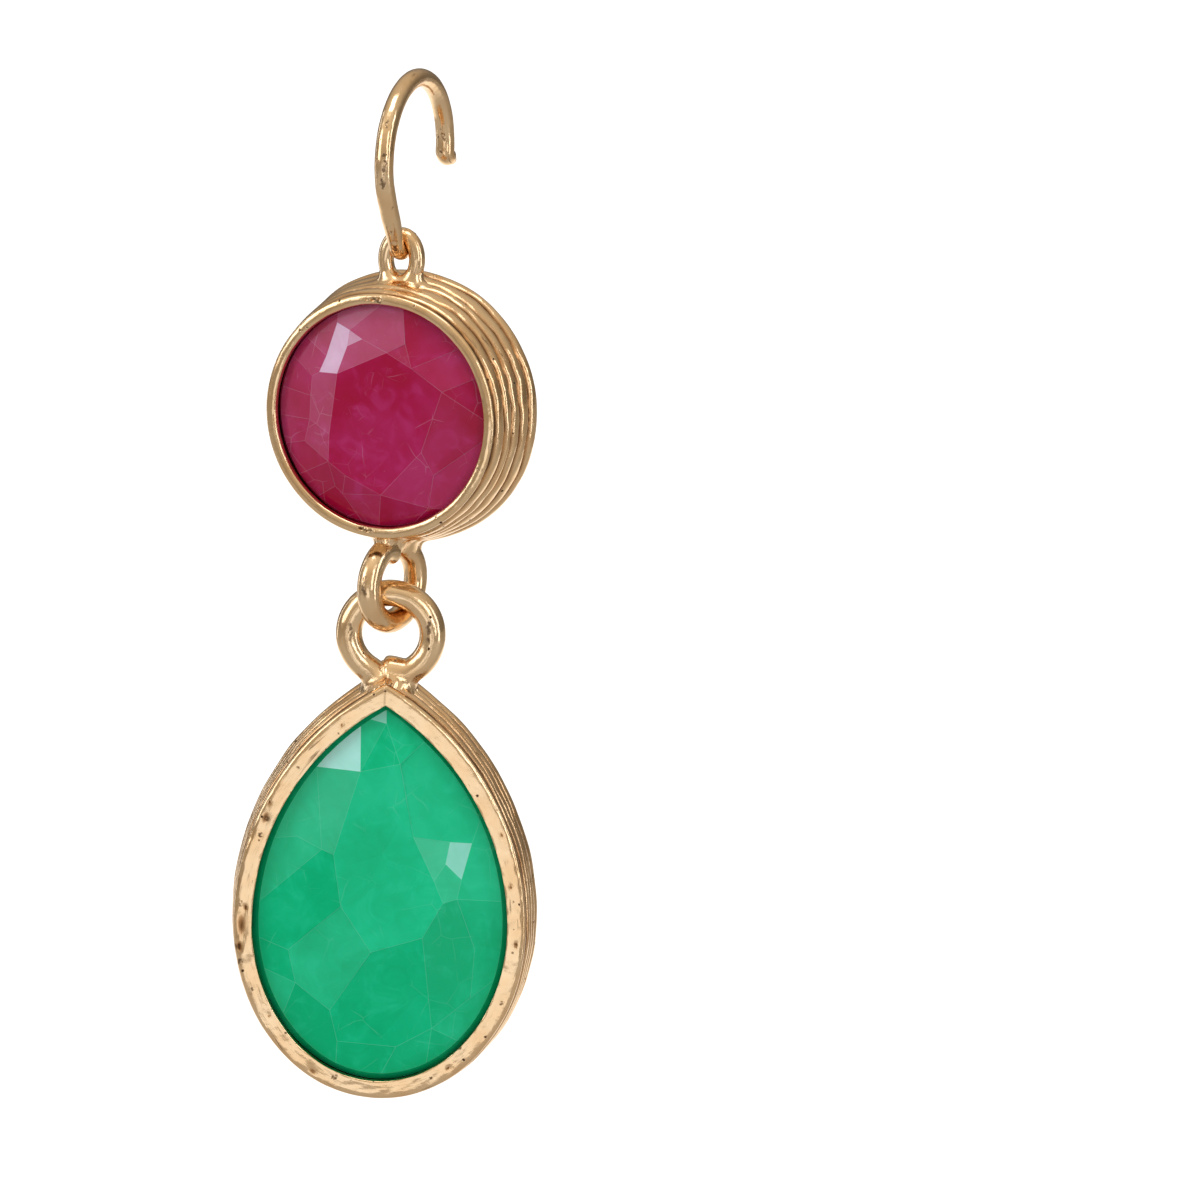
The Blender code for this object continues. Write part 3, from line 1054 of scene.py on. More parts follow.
@dataclass
class Nick:
    """A small pit on a rim: its place round the rim, across it, and its size."""

    turn_deg: float
    across: float
    length: float
    width: float
    depth: float


class Outline(Protocol):
    """The line round a stone's opening."""

    def points(self, offset: np.ndarray, count: int) -> np.ndarray:
        """Places of the line moved outwards, as x and z, by row and column."""

    def distance(self, x: np.ndarray, z: np.ndarray) -> np.ndarray:
        """Distance outside the line."""


@dataclass
class RoundLine:
    """A round opening."""

    half_width: float

    def points(self, offset: np.ndarray, count: int) -> np.ndarray:
        """Places of the line moved outwards, clockwise from its top.

        Args:
            offset: How far outwards, by row and column.
            count: Points round the line.

        Returns:
            Places as x and z.
        """
        turn = 2 * pi * np.arange(count) / count
        radius = self.half_width + offset
        return np.stack((radius * np.sin(turn), radius * np.cos(turn)), axis=-1)

    def distance(self, x: np.ndarray, z: np.ndarray) -> np.ndarray:
        """Distance outside the line."""
        return np.hypot(x, z) - self.half_width


@dataclass
class PearLine:
    """A pear-shaped opening: two arcs that meet at an apex, and half an ellipse below."""

    half_width: float = 0.00708
    rise: float = 0.01252
    fall: float = 0.00885
    side_share: float = 0.27

    def arc(self) -> Pair:
        """Radius of the side arcs, and the right one's centre in x."""
        radius = (self.rise ** 2 + self.half_width ** 2) / (2 * self.half_width)
        return radius, self.half_width - radius

    def points(self, offset: np.ndarray, count: int) -> np.ndarray:
        """Places of the line moved outwards, clockwise from its apex.

        Args:
            offset: How far outwards, by row and column.
            count: Points round the line.

        Returns:
            Places as x and z.
        """
        radius, middle = self.arc()
        side = int(count * self.side_share)
        bottom = count - 2 * side
        first, low = slice(0, side), slice(side, side + bottom + 1)
        last = slice(side + bottom + 1, count)
        offset = np.broadcast_to(offset, (*offset.shape[:-1], count))
        arc = radius + offset
        apex = np.arccos(-middle / arc)
        right = apex[..., first] * (1 - np.arange(side) / side)
        left = apex[..., last] * (np.arange(1, side) / side)
        swing = pi * np.arange(bottom + 1) / bottom
        x = np.concatenate((
            middle + arc[..., first] * np.cos(right),
            (self.half_width + offset[..., low]) * np.cos(swing),
            -(middle + arc[..., last] * np.cos(left)),
        ), axis=-1)
        z = np.concatenate((
            arc[..., first] * np.sin(right),
            -(self.fall + offset[..., low]) * np.sin(swing),
            arc[..., last] * np.sin(left),
        ), axis=-1)
        x[..., 0] = 0.0
        return np.stack((x, z), axis=-1)

    def distance(self, x: np.ndarray, z: np.ndarray) -> np.ndarray:
        """Distance outside the line, true in its upper half."""
        radius, middle = self.arc()
        return np.hypot(np.abs(x) - middle, np.maximum(z, 0.0)) - radius


@dataclass
class Setting:
    """A cup of metal round a stone: a rim, a ridged flank and a plain back.

    Its section is a list of rows from the hollow over the rim to the back. A row holds
    how far it lies outside the opening, how deep it lies and how dark it is, each one
    number or one for each column.
    """

    name: str
    body: str
    outline: Outline
    middle: Pair
    rim: float
    depth: float
    flare: float
    flank_start: float
    groove: float
    grooves: tuple[float, ...]
    lip: tuple[Pair, ...]
    lip_depth: float
    pocket_top: float
    seat: float
    wander: float
    hammer: float
    nicks: tuple[Nick, ...] = ()
    tuck: float = 0.00020
    ledge: float = 0.00050
    floor: float = 0.00060
    floor_rise: float = 0.00030
    edge_wave: float = 0.000016
    flank_wave: float = 0.00005
    lump: float = 0.00003
    pit_shade: float = 0.00006
    wander_waves: float = 260.0
    fine_waves: float = 1000.0
    crease_deg: float = 38.0
    columns: int = 440
    lip_rows: int = 20
    flank_rows: int = 84
    fillet: float = 0.00080
    seed: int = 0

    def flank(self, level: np.ndarray | float) -> np.ndarray | float:
        """Offset of the ridges' crests at a depth."""
        return self.rim + self.flare * level / self.depth

    def distance(self, points: np.ndarray) -> np.ndarray:
        """Distance of points of the drop's frame from the setting's skin.

        Args:
            points: Places, one row each.

        Returns:
            One distance each, negative inside.
        """
        level = points[:, 1] - self.middle[0]
        outside = self.outline.distance(points[:, 0], points[:, 2] - self.middle[1])
        side = outside - self.flank(np.clip(level, 0.0, self.depth))
        ends = np.maximum(-level, level - self.depth)
        corner = np.hypot(np.maximum(side, 0.0), np.maximum(ends, 0.0))
        return corner + np.minimum(np.maximum(side, ends), 0.0)

    def ridges(self, shares: np.ndarray, course: np.ndarray) -> np.ndarray:
        """How high the ridged flank stands, from 0 in a groove to 1 on a crest.

        Args:
            shares: Depth down the flank as a share, one for each row.
            course: Points round the outline that the pattern follows.

        Returns:
            Heights by row and column.
        """
        lines = []
        for number, level in enumerate(self.grooves):
            drift = ripple(course, self.wander_waves, self.seed + 40 + number)
            fine = ripple(course, self.fine_waves, self.seed + 60 + number)
            inner = 0 < number < len(self.grooves) - 1
            lines.append(level + inner * self.wander * (drift + 0.45 * fine))
        height = np.zeros((len(shares), len(course)))
        for above, below in zip(lines, lines[1:]):
            t = (shares[:, None] - above) / np.maximum(below - above, 0.02)
            inside = (t >= 0) & (t <= 1)
            bow = np.clip(1 - np.abs(2 * np.clip(t, 0, 1) - 1) ** 2.2, 0.0, 1.0) ** 0.75
            height = np.where(inside, bow, height)
        return height

    def rows(self) -> tuple[np.ndarray, np.ndarray, np.ndarray]:
        """Work out the whole section, by row and column.

        Returns:
            How far outside the opening, how deep and how dark each point is.
        """
        rim_line = self.outline.points(np.full((1, 1), self.rim), self.columns)[0]
        course = np.column_stack((rim_line[:, 0], np.zeros(self.columns), rim_line[:, 1]))
        edge = self.edge_wave * ripple(course, 700.0, self.seed + 5)
        rows = self._hollow(edge) + self._lip(course, edge) + self._ridged(course)
        last = rows[-1][0]
        for turn in np.radians((30.0, 60.0, 90.0)):
            rows.append((last - 2.5 * self.groove * (1 - cos(turn)), self.depth, 0.3))
        offsets, depths, dark = (
            np.array([np.broadcast_to(part, self.columns) for part in parts])
            for parts in zip(*rows)
        )
        return offsets, depths, dark

    def _hollow(self, edge: np.ndarray | float) -> list[Row]:
        """Rows of the hollow under the stone, up to the rim's inner edge.

        Args:
            edge: How far the rim's inner edge wanders.

        Returns:
            The rows, from the floor upwards.
        """
        return [
            (-self.ledge, self.depth - self.floor, 0.9),
            (-self.ledge, self.seat + self.floor_rise, 0.9),
            (self.tuck, self.seat, 0.9), (self.tuck, self.pocket_top, 0.8),
            (edge, self.pocket_top * 0.55, 0.45),
        ]

    def _lip(self, course: np.ndarray, edge: np.ndarray) -> list[Row]:
        """Rows over the rim, with its hammer marks and pits.

        Args:
            course: Points round the rim that the marks follow.
            edge: How far the rim's inner edge wanders.

        Returns:
            The rows, from the inner edge outwards.
        """
        rows = []
        swell = 1 + 0.035 * ripple(course, 350.0, self.seed + 6)
        for across, back in smooth_row(self.lip, self.lip_rows):
            offset = self.rim * across * swell + edge * (1 - across)
            broad = ripple(course + offset[:, None] * 0.8, 520.0, self.seed + 7)
            fine = ripple(course + offset[:, None] * 1.7, 1500.0, self.seed + 8)
            pits = self._pits(across)
            level = self.lip_depth * back + self.hammer * (broad + 0.45 * fine) + pits
            outer_edge = 0.75 * (across > 0.97)
            dark = np.maximum(np.clip(pits / self.pit_shade, 0.0, 1.0), outer_edge)
            rows.append((offset, level, dark))
        return rows

    def _ridged(self, course: np.ndarray) -> list[Row]:
        """Rows down the ridged flank.

        Args:
            course: Points round the rim that the waves follow.

        Returns:
            The rows, from the rim backwards.
        """
        shares = np.linspace(0.0, 1.0, self.flank_rows)
        uneven = 1 + 0.55 * ripple(course, 420.0, self.seed + 9)
        rows = []
        for share, crest in zip(shares, self.ridges(shares, course)):
            level = self.flank_start + (self.depth - self.flank_start) * share
            wave = self.flank_wave * ripple(course + share * 0.0012, 520.0, self.seed + 11)
            sunk = self.groove * uneven * (1 - crest)
            rows.append((self.flank(level) - sunk + wave, level, np.clip(1 - crest, 0.0, 1.0)))
        return rows

    def _pits(self, across: float) -> np.ndarray:
        """Depth of the pits in the rim.

        Args:
            across: Where across the rim, from 0 inside to 1 outside.

        Returns:
            The depth in each column.
        """
        turn = np.degrees(2 * pi * np.arange(self.columns) / self.columns)
        depth = np.zeros(self.columns)
        for nick in self.nicks:
            apart = (turn - nick.turn_deg + 180.0) % 360.0 - 180.0
            away = (apart / nick.length) ** 2 + ((across - nick.across) / nick.width) ** 2
            depth += nick.depth * np.exp(-2.0 * away)
        return depth

    def build(
        self, place: Place, forms: Sequence[Form], finish: bpy.types.Material, node: str
    ) -> bpy.types.Object:
        """Make the setting, with solder flowing to its rings.

        Args:
            place: The drop's frame.
            forms: The rings.
            finish: Its material.
            node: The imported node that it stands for.

        Returns:
            The new object.
        """
        offsets, depths, dark = self.rows()
        flat = self.outline.points(offsets, self.columns)
        grid = np.stack((
            flat[..., 0], self.middle[0] + depths, self.middle[1] + flat[..., 1],
        ), axis=-1)
        outer = self.outline.points(offsets + MM, self.columns) - flat
        away = unit(np.stack((outer[..., 0], np.zeros(offsets.shape), outer[..., 1]), axis=-1))
        points = grid.reshape(-1, 3)
        normals = away.reshape(-1, 3)
        start = len(self._hollow(0.0)) + self.lip_rows
        flank = np.repeat(np.arange(len(offsets)) >= start, self.columns)
        for form in forms:
            close = form.distance(points)
            melted = ease(close, 1.5 * self.fillet, 0.15 * self.fillet) * flank
            lift = solder(points, normals, form, self.fillet * 0.97) * flank
            fill = self.groove * dark.reshape(-1) * melted * 0.8
            lumps = self.lump * melted * ripple(points, 800.0, self.seed + 13)
            points = points + (np.maximum(lift, fill) + lumps)[:, None] * normals
            dark = dark * (1 - 0.7 * melted.reshape(dark.shape))
        skin = Skin(place.out(points).reshape(grid.shape), dark, turned=True, plain_end=True)
        cup = skin.make(self.name, finish, self.body, "setting_gold", self.crease_deg)
        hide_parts(node)
        return cup


# Stones.


@dataclass(frozen=True)
class Facet:
    """A ground facet: its corners in order, how pale it is, partly the stone's own milky tone and
    partly painted light, and how much painted sheen it carries, a reflection painted into its
    colour.
    """

    corners: str
    pale: float
    sheen: float = 0.0


@dataclass(frozen=True)
class Cut:
    """The front of a stone as drawn from the camera: corners and facets.

    The drawing's top left corner lies at origin, in picture pixels, and scale is its
    size in units for each pixel. Corners named r... lie on the stone's edge. The first
    facet is the table.
    """

    origin: Pair
    scale: float
    corners: dict[str, Pair]
    facets: tuple[Facet, ...]

    def pixel(self, name: str) -> Pair:
        """Where a corner lies in the picture."""
        x, y = self.corners[name]
        return self.origin[0] + x / self.scale, self.origin[1] + y / self.scale


@dataclass
class Shell:
    """Vertices and faces of a stone, with each face's facet and marks: paleness, partly painted
    light, painted sheen, and a flag for the painted edge highlight.
    """

    points: list[np.ndarray] = field(default_factory=list)
    faces: list[list[int]] = field(default_factory=list)
    owners: list[int] = field(default_factory=list)
    marks: list[Triple] = field(default_factory=list)

    def add_face(
        self, corners: list[int], owner: int = -1,
        mark: Triple = (0.0, 0.0, 0.0),
    ) -> None:
        """Add a face.

        Args:
            corners: Its vertices.
            owner: The facet that it belongs to, or -1.
            mark: How pale it is (partly painted light), how much painted sheen it has, and 1 on a
                worn edge, which gets a painted highlight.
        """
        self.faces.append(corners)
        self.owners.append(owner)
        self.marks.append(mark)

    def add_band(
        self, outer: list[int], inner: list[int], owner: int = -1,
        mark: Triple = (0.0, 0.0, 0.0),
    ) -> None:
        """Add a band of four-sided faces between two closed lines of vertices.

        Args:
            outer: One line.
            inner: The other, with as many vertices.
            owner: The facet that the band belongs to, or -1.
            mark: How pale it is (partly painted light), how much painted sheen it has, and 1 on a
                worn edge, which gets a painted highlight.
        """
        for corners in zip(outer, outer[1:] + outer[:1], inner[1:] + inner[:1], inner):
            self.add_face(list(corners), owner, mark)


@dataclass
class Stone:
    """A cut stone with flat facets whose edges are slightly worn, with a highlight painted along
    them.
    """

    name: str
    body: str
    slot: str
    node: str
    outline: Outline
    middle: Pair
    girdle_depth: float
    crown: float
    girdle_height: float
    pavilion: float
    back_slope_deg: float
    cut: Cut
    band: float
    band_drop: float
    tuck: float = 0.00010
    edge: float = 0.000014
    sharpest: float = 0.40
    flat_share: float = 0.40
    dome_power: float = 1.35
    dome_pull: float = 0.07
    rounds: int = 60
    sides: int = 144

    def _spots(self, place: Place, studio: Studio) -> dict[Any, np.ndarray]:
        """Places of all corners and edge points on the front, as x and z.

        Args:
            place: The drop's frame.
            studio: The studio whose camera the facets were drawn from.

        Returns:
            Places by a corner's name or an edge point's number.
        """
        ring = self.outline.points(np.full((1, 1), -self.band), self.sides)[0]
        spots: dict[Any, np.ndarray] = dict(enumerate(ring))
        front = self.middle[0] + self.girdle_depth - self.crown
        for name in self.cut.corners:
            point = studio.on_plane(self.cut.pixel(name), place, front)
            spots[name] = np.array((point[0], point[2] - self.middle[1]))
        return spots

    def _rings(self, spots: dict[Any, np.ndarray]) -> list[list[Any]]:
        """Each facet's boundary, with the stone's edge followed between edge corners.

        Args:
            spots: Places of the corners and edge points.

        Returns:
            The names and numbers round each facet, in order.
        """
        ring = np.array([spots[step] for step in range(self.sides)])
        turns = np.arctan2(ring[:, 0], ring[:, 1])
        rings = []
        for facet in self.cut.facets:
            names = facet.corners.split()
            keys = [
                self._nearest(turns, spots[name]) if name.startswith("r") else name
                for name in names
            ]
            full: list[Any] = []
            for key, after in zip(keys, keys[1:] + keys[:1]):
                full.append(key)
                if isinstance(key, int) and isinstance(after, int):
                    way = (after - key + self.sides // 2) % self.sides - self.sides // 2
                    step = 1 if way > 0 else -1
                    full += [(key + step * n) % self.sides for n in range(1, abs(way))]
            rings.append(full)
        return rings

    def _nearest(self, turns: np.ndarray, spot: np.ndarray) -> int:
        """The edge point that lies in the direction of a spot."""
        apart = turns - np.arctan2(spot[0], spot[1])
        return int(np.argmin(np.abs((apart + pi) % (2 * pi) - pi)))

    def _planes(
        self, spots: dict[Any, np.ndarray], rings: list[list[Any]]
    ) -> tuple[dict[Any, float], list[np.ndarray]]:
        """Lay each facet flat.

        Args:
            spots: Places of the corners and edge points.
            rings: The facets' boundaries.

        Returns:
            The depth of each corner behind the table, and each facet's plane.
        """
        edge = np.array([spots[step] for step in range(self.sides)])
        order = np.argsort(np.arctan2(edge[:, 0], edge[:, 1]))
        turns = np.arctan2(edge[order, 0], edge[order, 1])
        reach = np.hypot(edge[order, 0], edge[order, 1])
        used = sorted({key for ring in rings for key in ring}, key=str)
        fall = self.crown - self.band_drop
        dome = {}
        for key in used:
            x, z = spots[key]
            full = np.interp(np.arctan2(x, z), turns, reach, period=2 * pi)
            share = (np.hypot(x, z) / full - self.flat_share) / (1 - self.flat_share)
            dome[key] = fall * max(0.0, share) ** self.dome_power
        table = set(rings[0])
        dome.update(dict.fromkeys(table, 0.0))
        depths = dict(dome)
        planes: list[np.ndarray] = []
        for _ in range(self.rounds):
            planes = []
            sums = {key: [0.0, 0] for key in used}
            for ring in rings:
                rows = np.array([(*spots[key], MM) for key in ring])
                values = np.array([depths[key] for key in ring])
                plane = np.linalg.lstsq(rows, values, rcond=None)[0]
                planes.append(plane)
                for key, value in zip(ring, rows @ plane):
                    sums[key][0] += value
                    sums[key][1] += 1
            for key, (total, count) in sums.items():
                level = (1 - self.dome_pull) * total / count + self.dome_pull * dome[key]
                depths[key] = 0.0 if key in table else level
        return depths, planes

    def build(
        self, place: Place, studio: Studio, finish: bpy.types.Material
    ) -> bpy.types.Object:
        """Cut the stone.

        Args:
            place: The drop's frame.
            studio: The studio whose camera the facets were drawn from.
            finish: Its material.

        Returns:
            The new object.
        """
        spots = self._spots(place, studio)
        rings = self._rings(spots)
        depths, planes = self._planes(spots, rings)
        ways = [unit(np.array((plane[0], -1.0, plane[1]))) for plane in planes]
        front = self.girdle_depth - self.crown
        keys = sorted(depths, key=str)
        shell = Shell([np.array((spots[k][0], front + depths[k], spots[k][1])) for k in keys])
        index = {key: step for step, key in enumerate(keys)}
        worn = np.zeros((len(keys), 3))
        for number, (ring, plane, facet) in enumerate(zip(rings, planes, self.cut.facets)):
            start = len(shell.points)
            for x, z in self._inset(np.array([spots[key] for key in ring])):
                shell.points.append(np.array((x, front + plane @ (x, z, MM), z)))
            inner = list(range(start, len(shell.points)))
            outer = [index[key] for key in ring]
            # Each face takes its facet's paleness, partly painted light, and painted sheen; the
            # band round it is flagged for the painted edge highlight.
            shell.add_face(inner, number, (facet.pale, facet.sheen, 0.0))
            shell.add_band(outer, inner, number, (facet.pale, facet.sheen, 1.0))
            np.add.at(worn, outer, ways[number])
        self._add_back(shell, [index[step] for step in range(self.sides)])
        return self._finish(place, finish, shell, ways, worn)

    def _add_back(self, shell: Shell, rim: list[int]) -> None:
        """Add the girdle and the plain back.

        Args:
            shell: The stone so far.
            rim: Vertices on the front's edge.
        """
        behind = self.girdle_depth + self.girdle_height
        inset = self.pavilion / tan(radians(self.back_slope_deg))
        for offset, level in (
            (self.tuck, self.girdle_depth), (self.tuck, behind),
            (self.tuck - inset, behind + self.pavilion),
        ):
            line = self.outline.points(np.full((1, 1), offset), self.sides)[0]
            start = len(shell.points)
            shell.points += [np.array((x, level, z)) for x, z in line]
            after = list(range(start, start + self.sides))
            shell.add_band(rim, after)
            rim = after
        shell.add_face(rim)

    def _inset(self, ring: np.ndarray) -> np.ndarray:
        """A boundary moved inwards by the width of the worn edge.

        Args:
            ring: The boundary's places.

        Returns:
            The moved places.
        """
        sides = np.roll(ring, -1, axis=0) - ring
        area = np.sum(ring[:, 0] * np.roll(ring[:, 1], -1) - np.roll(ring[:, 0], -1) * ring[:, 1])
        inward = unit(np.stack((-sides[:, 1], sides[:, 0]), axis=-1)) * np.sign(area)
        before = np.roll(inward, 1, axis=0)
        both = 1 + np.sum(before * inward, axis=-1, keepdims=True)
        return ring + self.edge * (before + inward) / np.maximum(both, self.sharpest)

    def _finish(
        self, place: Place, finish: bpy.types.Material, shell: Shell,
        ways: list[np.ndarray], worn: np.ndarray,
    ) -> bpy.types.Object:
        """Make the stone's mesh, flat on each facet and rounded over its worn edges.

        Args:
            place: The drop's frame.
            finish: Its material.
            shell: Its vertices and faces, in its own frame.
            ways: The way each facet faces.
            worn: Sums of the ways that meet at each of the first vertices.

        Returns:
            The new object.
        """
        shift = np.array((0.0, *self.middle))
        mesh = closed_mesh(self.name, place.out(np.array(shell.points) + shift), shell.faces)
        add_values(mesh, "facet", "FACE", np.array(shell.marks))
        turn = place.matrix()
        normals = []
        for face, owner in zip(mesh.polygons, shell.owners):
            for corner in face.vertices:
                if owner < 0:
                    normals.append(face.normal)
                elif corner < len(worn) and len(face.vertices) == 4:
                    normals.append(Vector(turn @ unit(worn[corner])))
                else:
                    normals.append(Vector(turn @ ways[owner]))
        mesh.normals_split_custom_set(normals)
        stone = add_piece(self.name, mesh, finish, self.body)
        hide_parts(self.node)
        return stone


# Sub-assemblies.


@dataclass
class RoundDrop:
    """The round setting with its two rings, and its stone."""

    ring_depth: float = 0.00262
    opening: float = 0.01216
    rim: float = 0.00062
    depth: float = 0.00462
    flare: float = 0.00086
    top_stand: float = 0.00240
    top_sink: float = 0.00022
    top_half_width: float = 0.00091
    top_wire: float = 0.00088
    link_radius: float = 0.00210
    link_wire: float = 0.00130
    link_stand: float = 0.00034
    link_turn_deg: float = 76.0

    def build(self, metal: AntiquedGold, stone: bpy.types.Material, studio: Studio) -> None:
        """Make the drop's pieces.

        Args:
            metal: The finish of its setting and rings.
            stone: The finish of its stone.
            studio: The studio whose camera the stone was drawn from.
        """
        place = joint_place("round_swing")
        reach = self.opening / 2 + self.rim + self.flare * self.ring_depth / self.depth
        middle = (-self.ring_depth, -self.top_stand - reach)
        outline = RoundLine(self.opening / 2)
        cup = Setting(
            name="round_setting_cup", body="round_drop", outline=outline, middle=middle,
            rim=self.rim, depth=self.depth, flare=self.flare,
            flank_start=0.00050, groove=0.00028,
            grooves=(0.0, 0.22, 0.38, 0.60, 0.83, 1.0),
            lip=((0.0, 0.70), (0.10, 0.22), (0.34, 0.0), (0.66, 0.03), (0.92, 0.30), (1.0, 0.85)),
            lip_depth=0.00030, pocket_top=0.00064, seat=0.00124, wander=0.072,
            hammer=0.000010, seed=100, columns=400,
            nicks=(
                Nick(355.0, 0.45, 1.4, 0.16, 0.00009), Nick(358.5, 0.55, 1.0, 0.14, 0.00008),
                Nick(352.0, 0.50, 0.8, 0.12, 0.00007), Nick(188.0, 0.35, 1.6, 0.16, 0.00009),
                Nick(184.5, 0.45, 1.0, 0.14, 0.00007),
            ),
        )
        half = (self.top_stand + self.top_sink) / 2
        top = Ring(
            name="top_ring", half_width=self.top_half_width, half_height=half,
            wire=self.top_wire, turn_deg=0.0, drop=half, joint=Side.BOTTOM, lap_deg=0.0,
            lift=0.0, fillet=0.00050, seed=1,
        )
        link = Ring(
            name="upper_link", half_width=self.link_radius, half_height=self.link_radius,
            wire=self.link_wire, turn_deg=self.link_turn_deg,
            drop=self.top_stand + 2 * reach + self.link_stand + self.link_radius,
            joint=Side.TOP, lap_deg=-7.0, lift=0.00040, ease_deg=34.0, fillet=0.00062, seed=2,
        )
        # Tarnished spots on the setting, and dark reflections painted along the upper link.
        levels = {-self.ring_depth / MM: ROUND_BLOTS, **UPPER_LINK_DARK_REFLECTIONS}
        blots = studio.blots(place, levels)
        gold = replace(metal, name="round_gold", blots=blots).make()
        cup.build(place, (top.form(), link.form()), gold, "round_setting")
        top.build(place, cup, gold, "round_drop")
        link.build(place, cup, gold, "round_drop")
        Stone(
            name="round_stone_cut", body="round_drop", slot="red_stone", node="round_stone",
            outline=outline, middle=middle, girdle_depth=0.00078, crown=0.00100,
            girdle_height=0.00022, pavilion=0.00200, back_slope_deg=28.0, cut=ROUND_CUT,
            band=0.00004, band_drop=0.00014,
        ).build(place, studio, stone)


@dataclass
class PearDrop:
    """The pear-shaped setting with its ring, and its stone."""

    turn_deg: float = 17.5
    ring_depth: float = 0.00178
    rim: float = 0.00106
    depth: float = 0.00300
    flare: float = 0.00042
    link_radius: float = 0.00230
    link_wire: float = 0.00146
    link_sink: float = 0.00015

    def build(self, metal: AntiquedGold, stone: bpy.types.Material, studio: Studio) -> None:
        """Make the drop's pieces.

        Args:
            metal: The finish of its setting and ring.
            stone: The finish of its stone.
            studio: The studio whose camera the stone was drawn from.
        """
        place = joint_place("pear_swing", self.turn_deg)
        outline = PearLine()
        offset = self.rim + self.flare * self.ring_depth / self.depth
        apex = outline.points(np.full((1, 1), offset), Setting.columns)[0, 0, 1]
        middle = (-self.ring_depth, -2 * self.link_radius + self.link_sink - apex)
        cup = Setting(
            name="pear_setting_cup", body="pear_drop", outline=outline, middle=middle,
            rim=self.rim, depth=self.depth, flare=self.flare,
            flank_start=0.00060, groove=0.00021, grooves=(0.0, 0.24, 0.45, 0.72, 1.0),
            lip=((0.0, 0.16), (0.04, 0.0), (0.40, 0.0), (0.76, 0.04), (0.93, 0.32), (1.0, 0.95)),
            lip_depth=0.00032, pocket_top=0.00078, seat=0.00145, wander=0.070,
            hammer=0.000036, seed=200, nicks=PEAR_NICKS,
        )
        link = Ring(
            name="lower_link", half_width=self.link_radius, half_height=self.link_radius,
            wire=self.link_wire, turn_deg=0.0, drop=self.link_radius, joint=Side.BOTTOM,
            lap_deg=2.0, lift=0.00036, ease_deg=32.0, fillet=0.00080, seed=4,
        )
        # Tarnished spots on the setting, and dark reflections painted along the lower link.
        levels = {-self.ring_depth / MM: PEAR_BLOTS, **LOWER_LINK_DARK_REFLECTIONS}
        blots = studio.blots(place, levels)
        gold = replace(metal, name="pear_gold", blots=blots).make()
        cup.build(place, (link.form(),), gold, "pear_setting")
        link.build(place, cup, gold, "pear_drop")
        Stone(
            name="pear_stone_cut", body="pear_drop", slot="green_stone", node="pear_stone",
            outline=outline, middle=middle, girdle_depth=0.00092, crown=0.00088,
            girdle_height=0.00018, pavilion=0.00112, back_slope_deg=22.0, cut=PEAR_CUT,
            band=0.00031, band_drop=0.00034, sides=160,
        ).build(place, studio, stone)


# Dark marks on the metal and the stones' facets, placed by the photo's pixels. The marks are
# tarnished spots, and along the hook and links painted dark reflections; each facet carries its
# paleness, partly painted light, and its painted sheen. A mark gives its pixel, its radius in mm
# and how drawn out it is; a key is a plane's y in mm.


# Dark streaks along the hook wire: partly painted dark reflections, partly tarnishing.
HOOK_TARNISH_AND_DARK_REFLECTIONS = {
    -2.75: ((387, 125, 0.16, 3.0), (384, 142, 0.20, 1.6)),
    -3.20: ((384, 163, 0.17, 5.0), (383, 184, 0.17, 4.0)),
    -2.40: ((393, 212, 0.12, 3.0), (388, 222, 0.14, 1.3)),
    -1.90: ((390, 234, 0.14, 1.3),),
    5.10: (
        (442, 127, 0.16, 1.5), (444, 136, 0.17, 1.6), (449, 134, 0.12), (438, 137, 0.12),
        (452, 145, 0.15, 1.4), (441, 152, 0.12), (446, 160, 0.10),
    ),
}
# Dark reflections painted along the links' limbs.
UPPER_LINK_DARK_REFLECTIONS = {-2.65: ((364, 586, 0.17, 5.0),)}
LOWER_LINK_DARK_REFLECTIONS = {-0.70: ((429, 630, 0.17, 4.5), (351, 629, 0.16, 4.5))}
ROUND_BLOTS = (
    (374, 300, 0.20), (379, 301, 0.20), (364, 529, 0.16), (371, 530, 0.20), (414, 306, 0.09),
    (478, 469, 0.11), (464, 487, 0.10), (436, 517, 0.11), (300, 330, 0.10), (283, 356, 0.08),
)
PEAR_BLOTS = (
    (240, 904, 0.20), (239, 947, 0.30), (240, 962, 0.22), (267, 819, 0.22), (261, 835, 0.15),
    (298, 767, 0.12), (242, 981, 0.12), (252, 989, 0.10), (335, 1077, 0.17), (352, 1081, 0.10),
    (431, 1078, 0.10), (460, 1048, 0.15), (501, 1003, 0.15), (497, 943, 0.10), (505, 806, 0.16),
    (513, 902, 0.09),
)


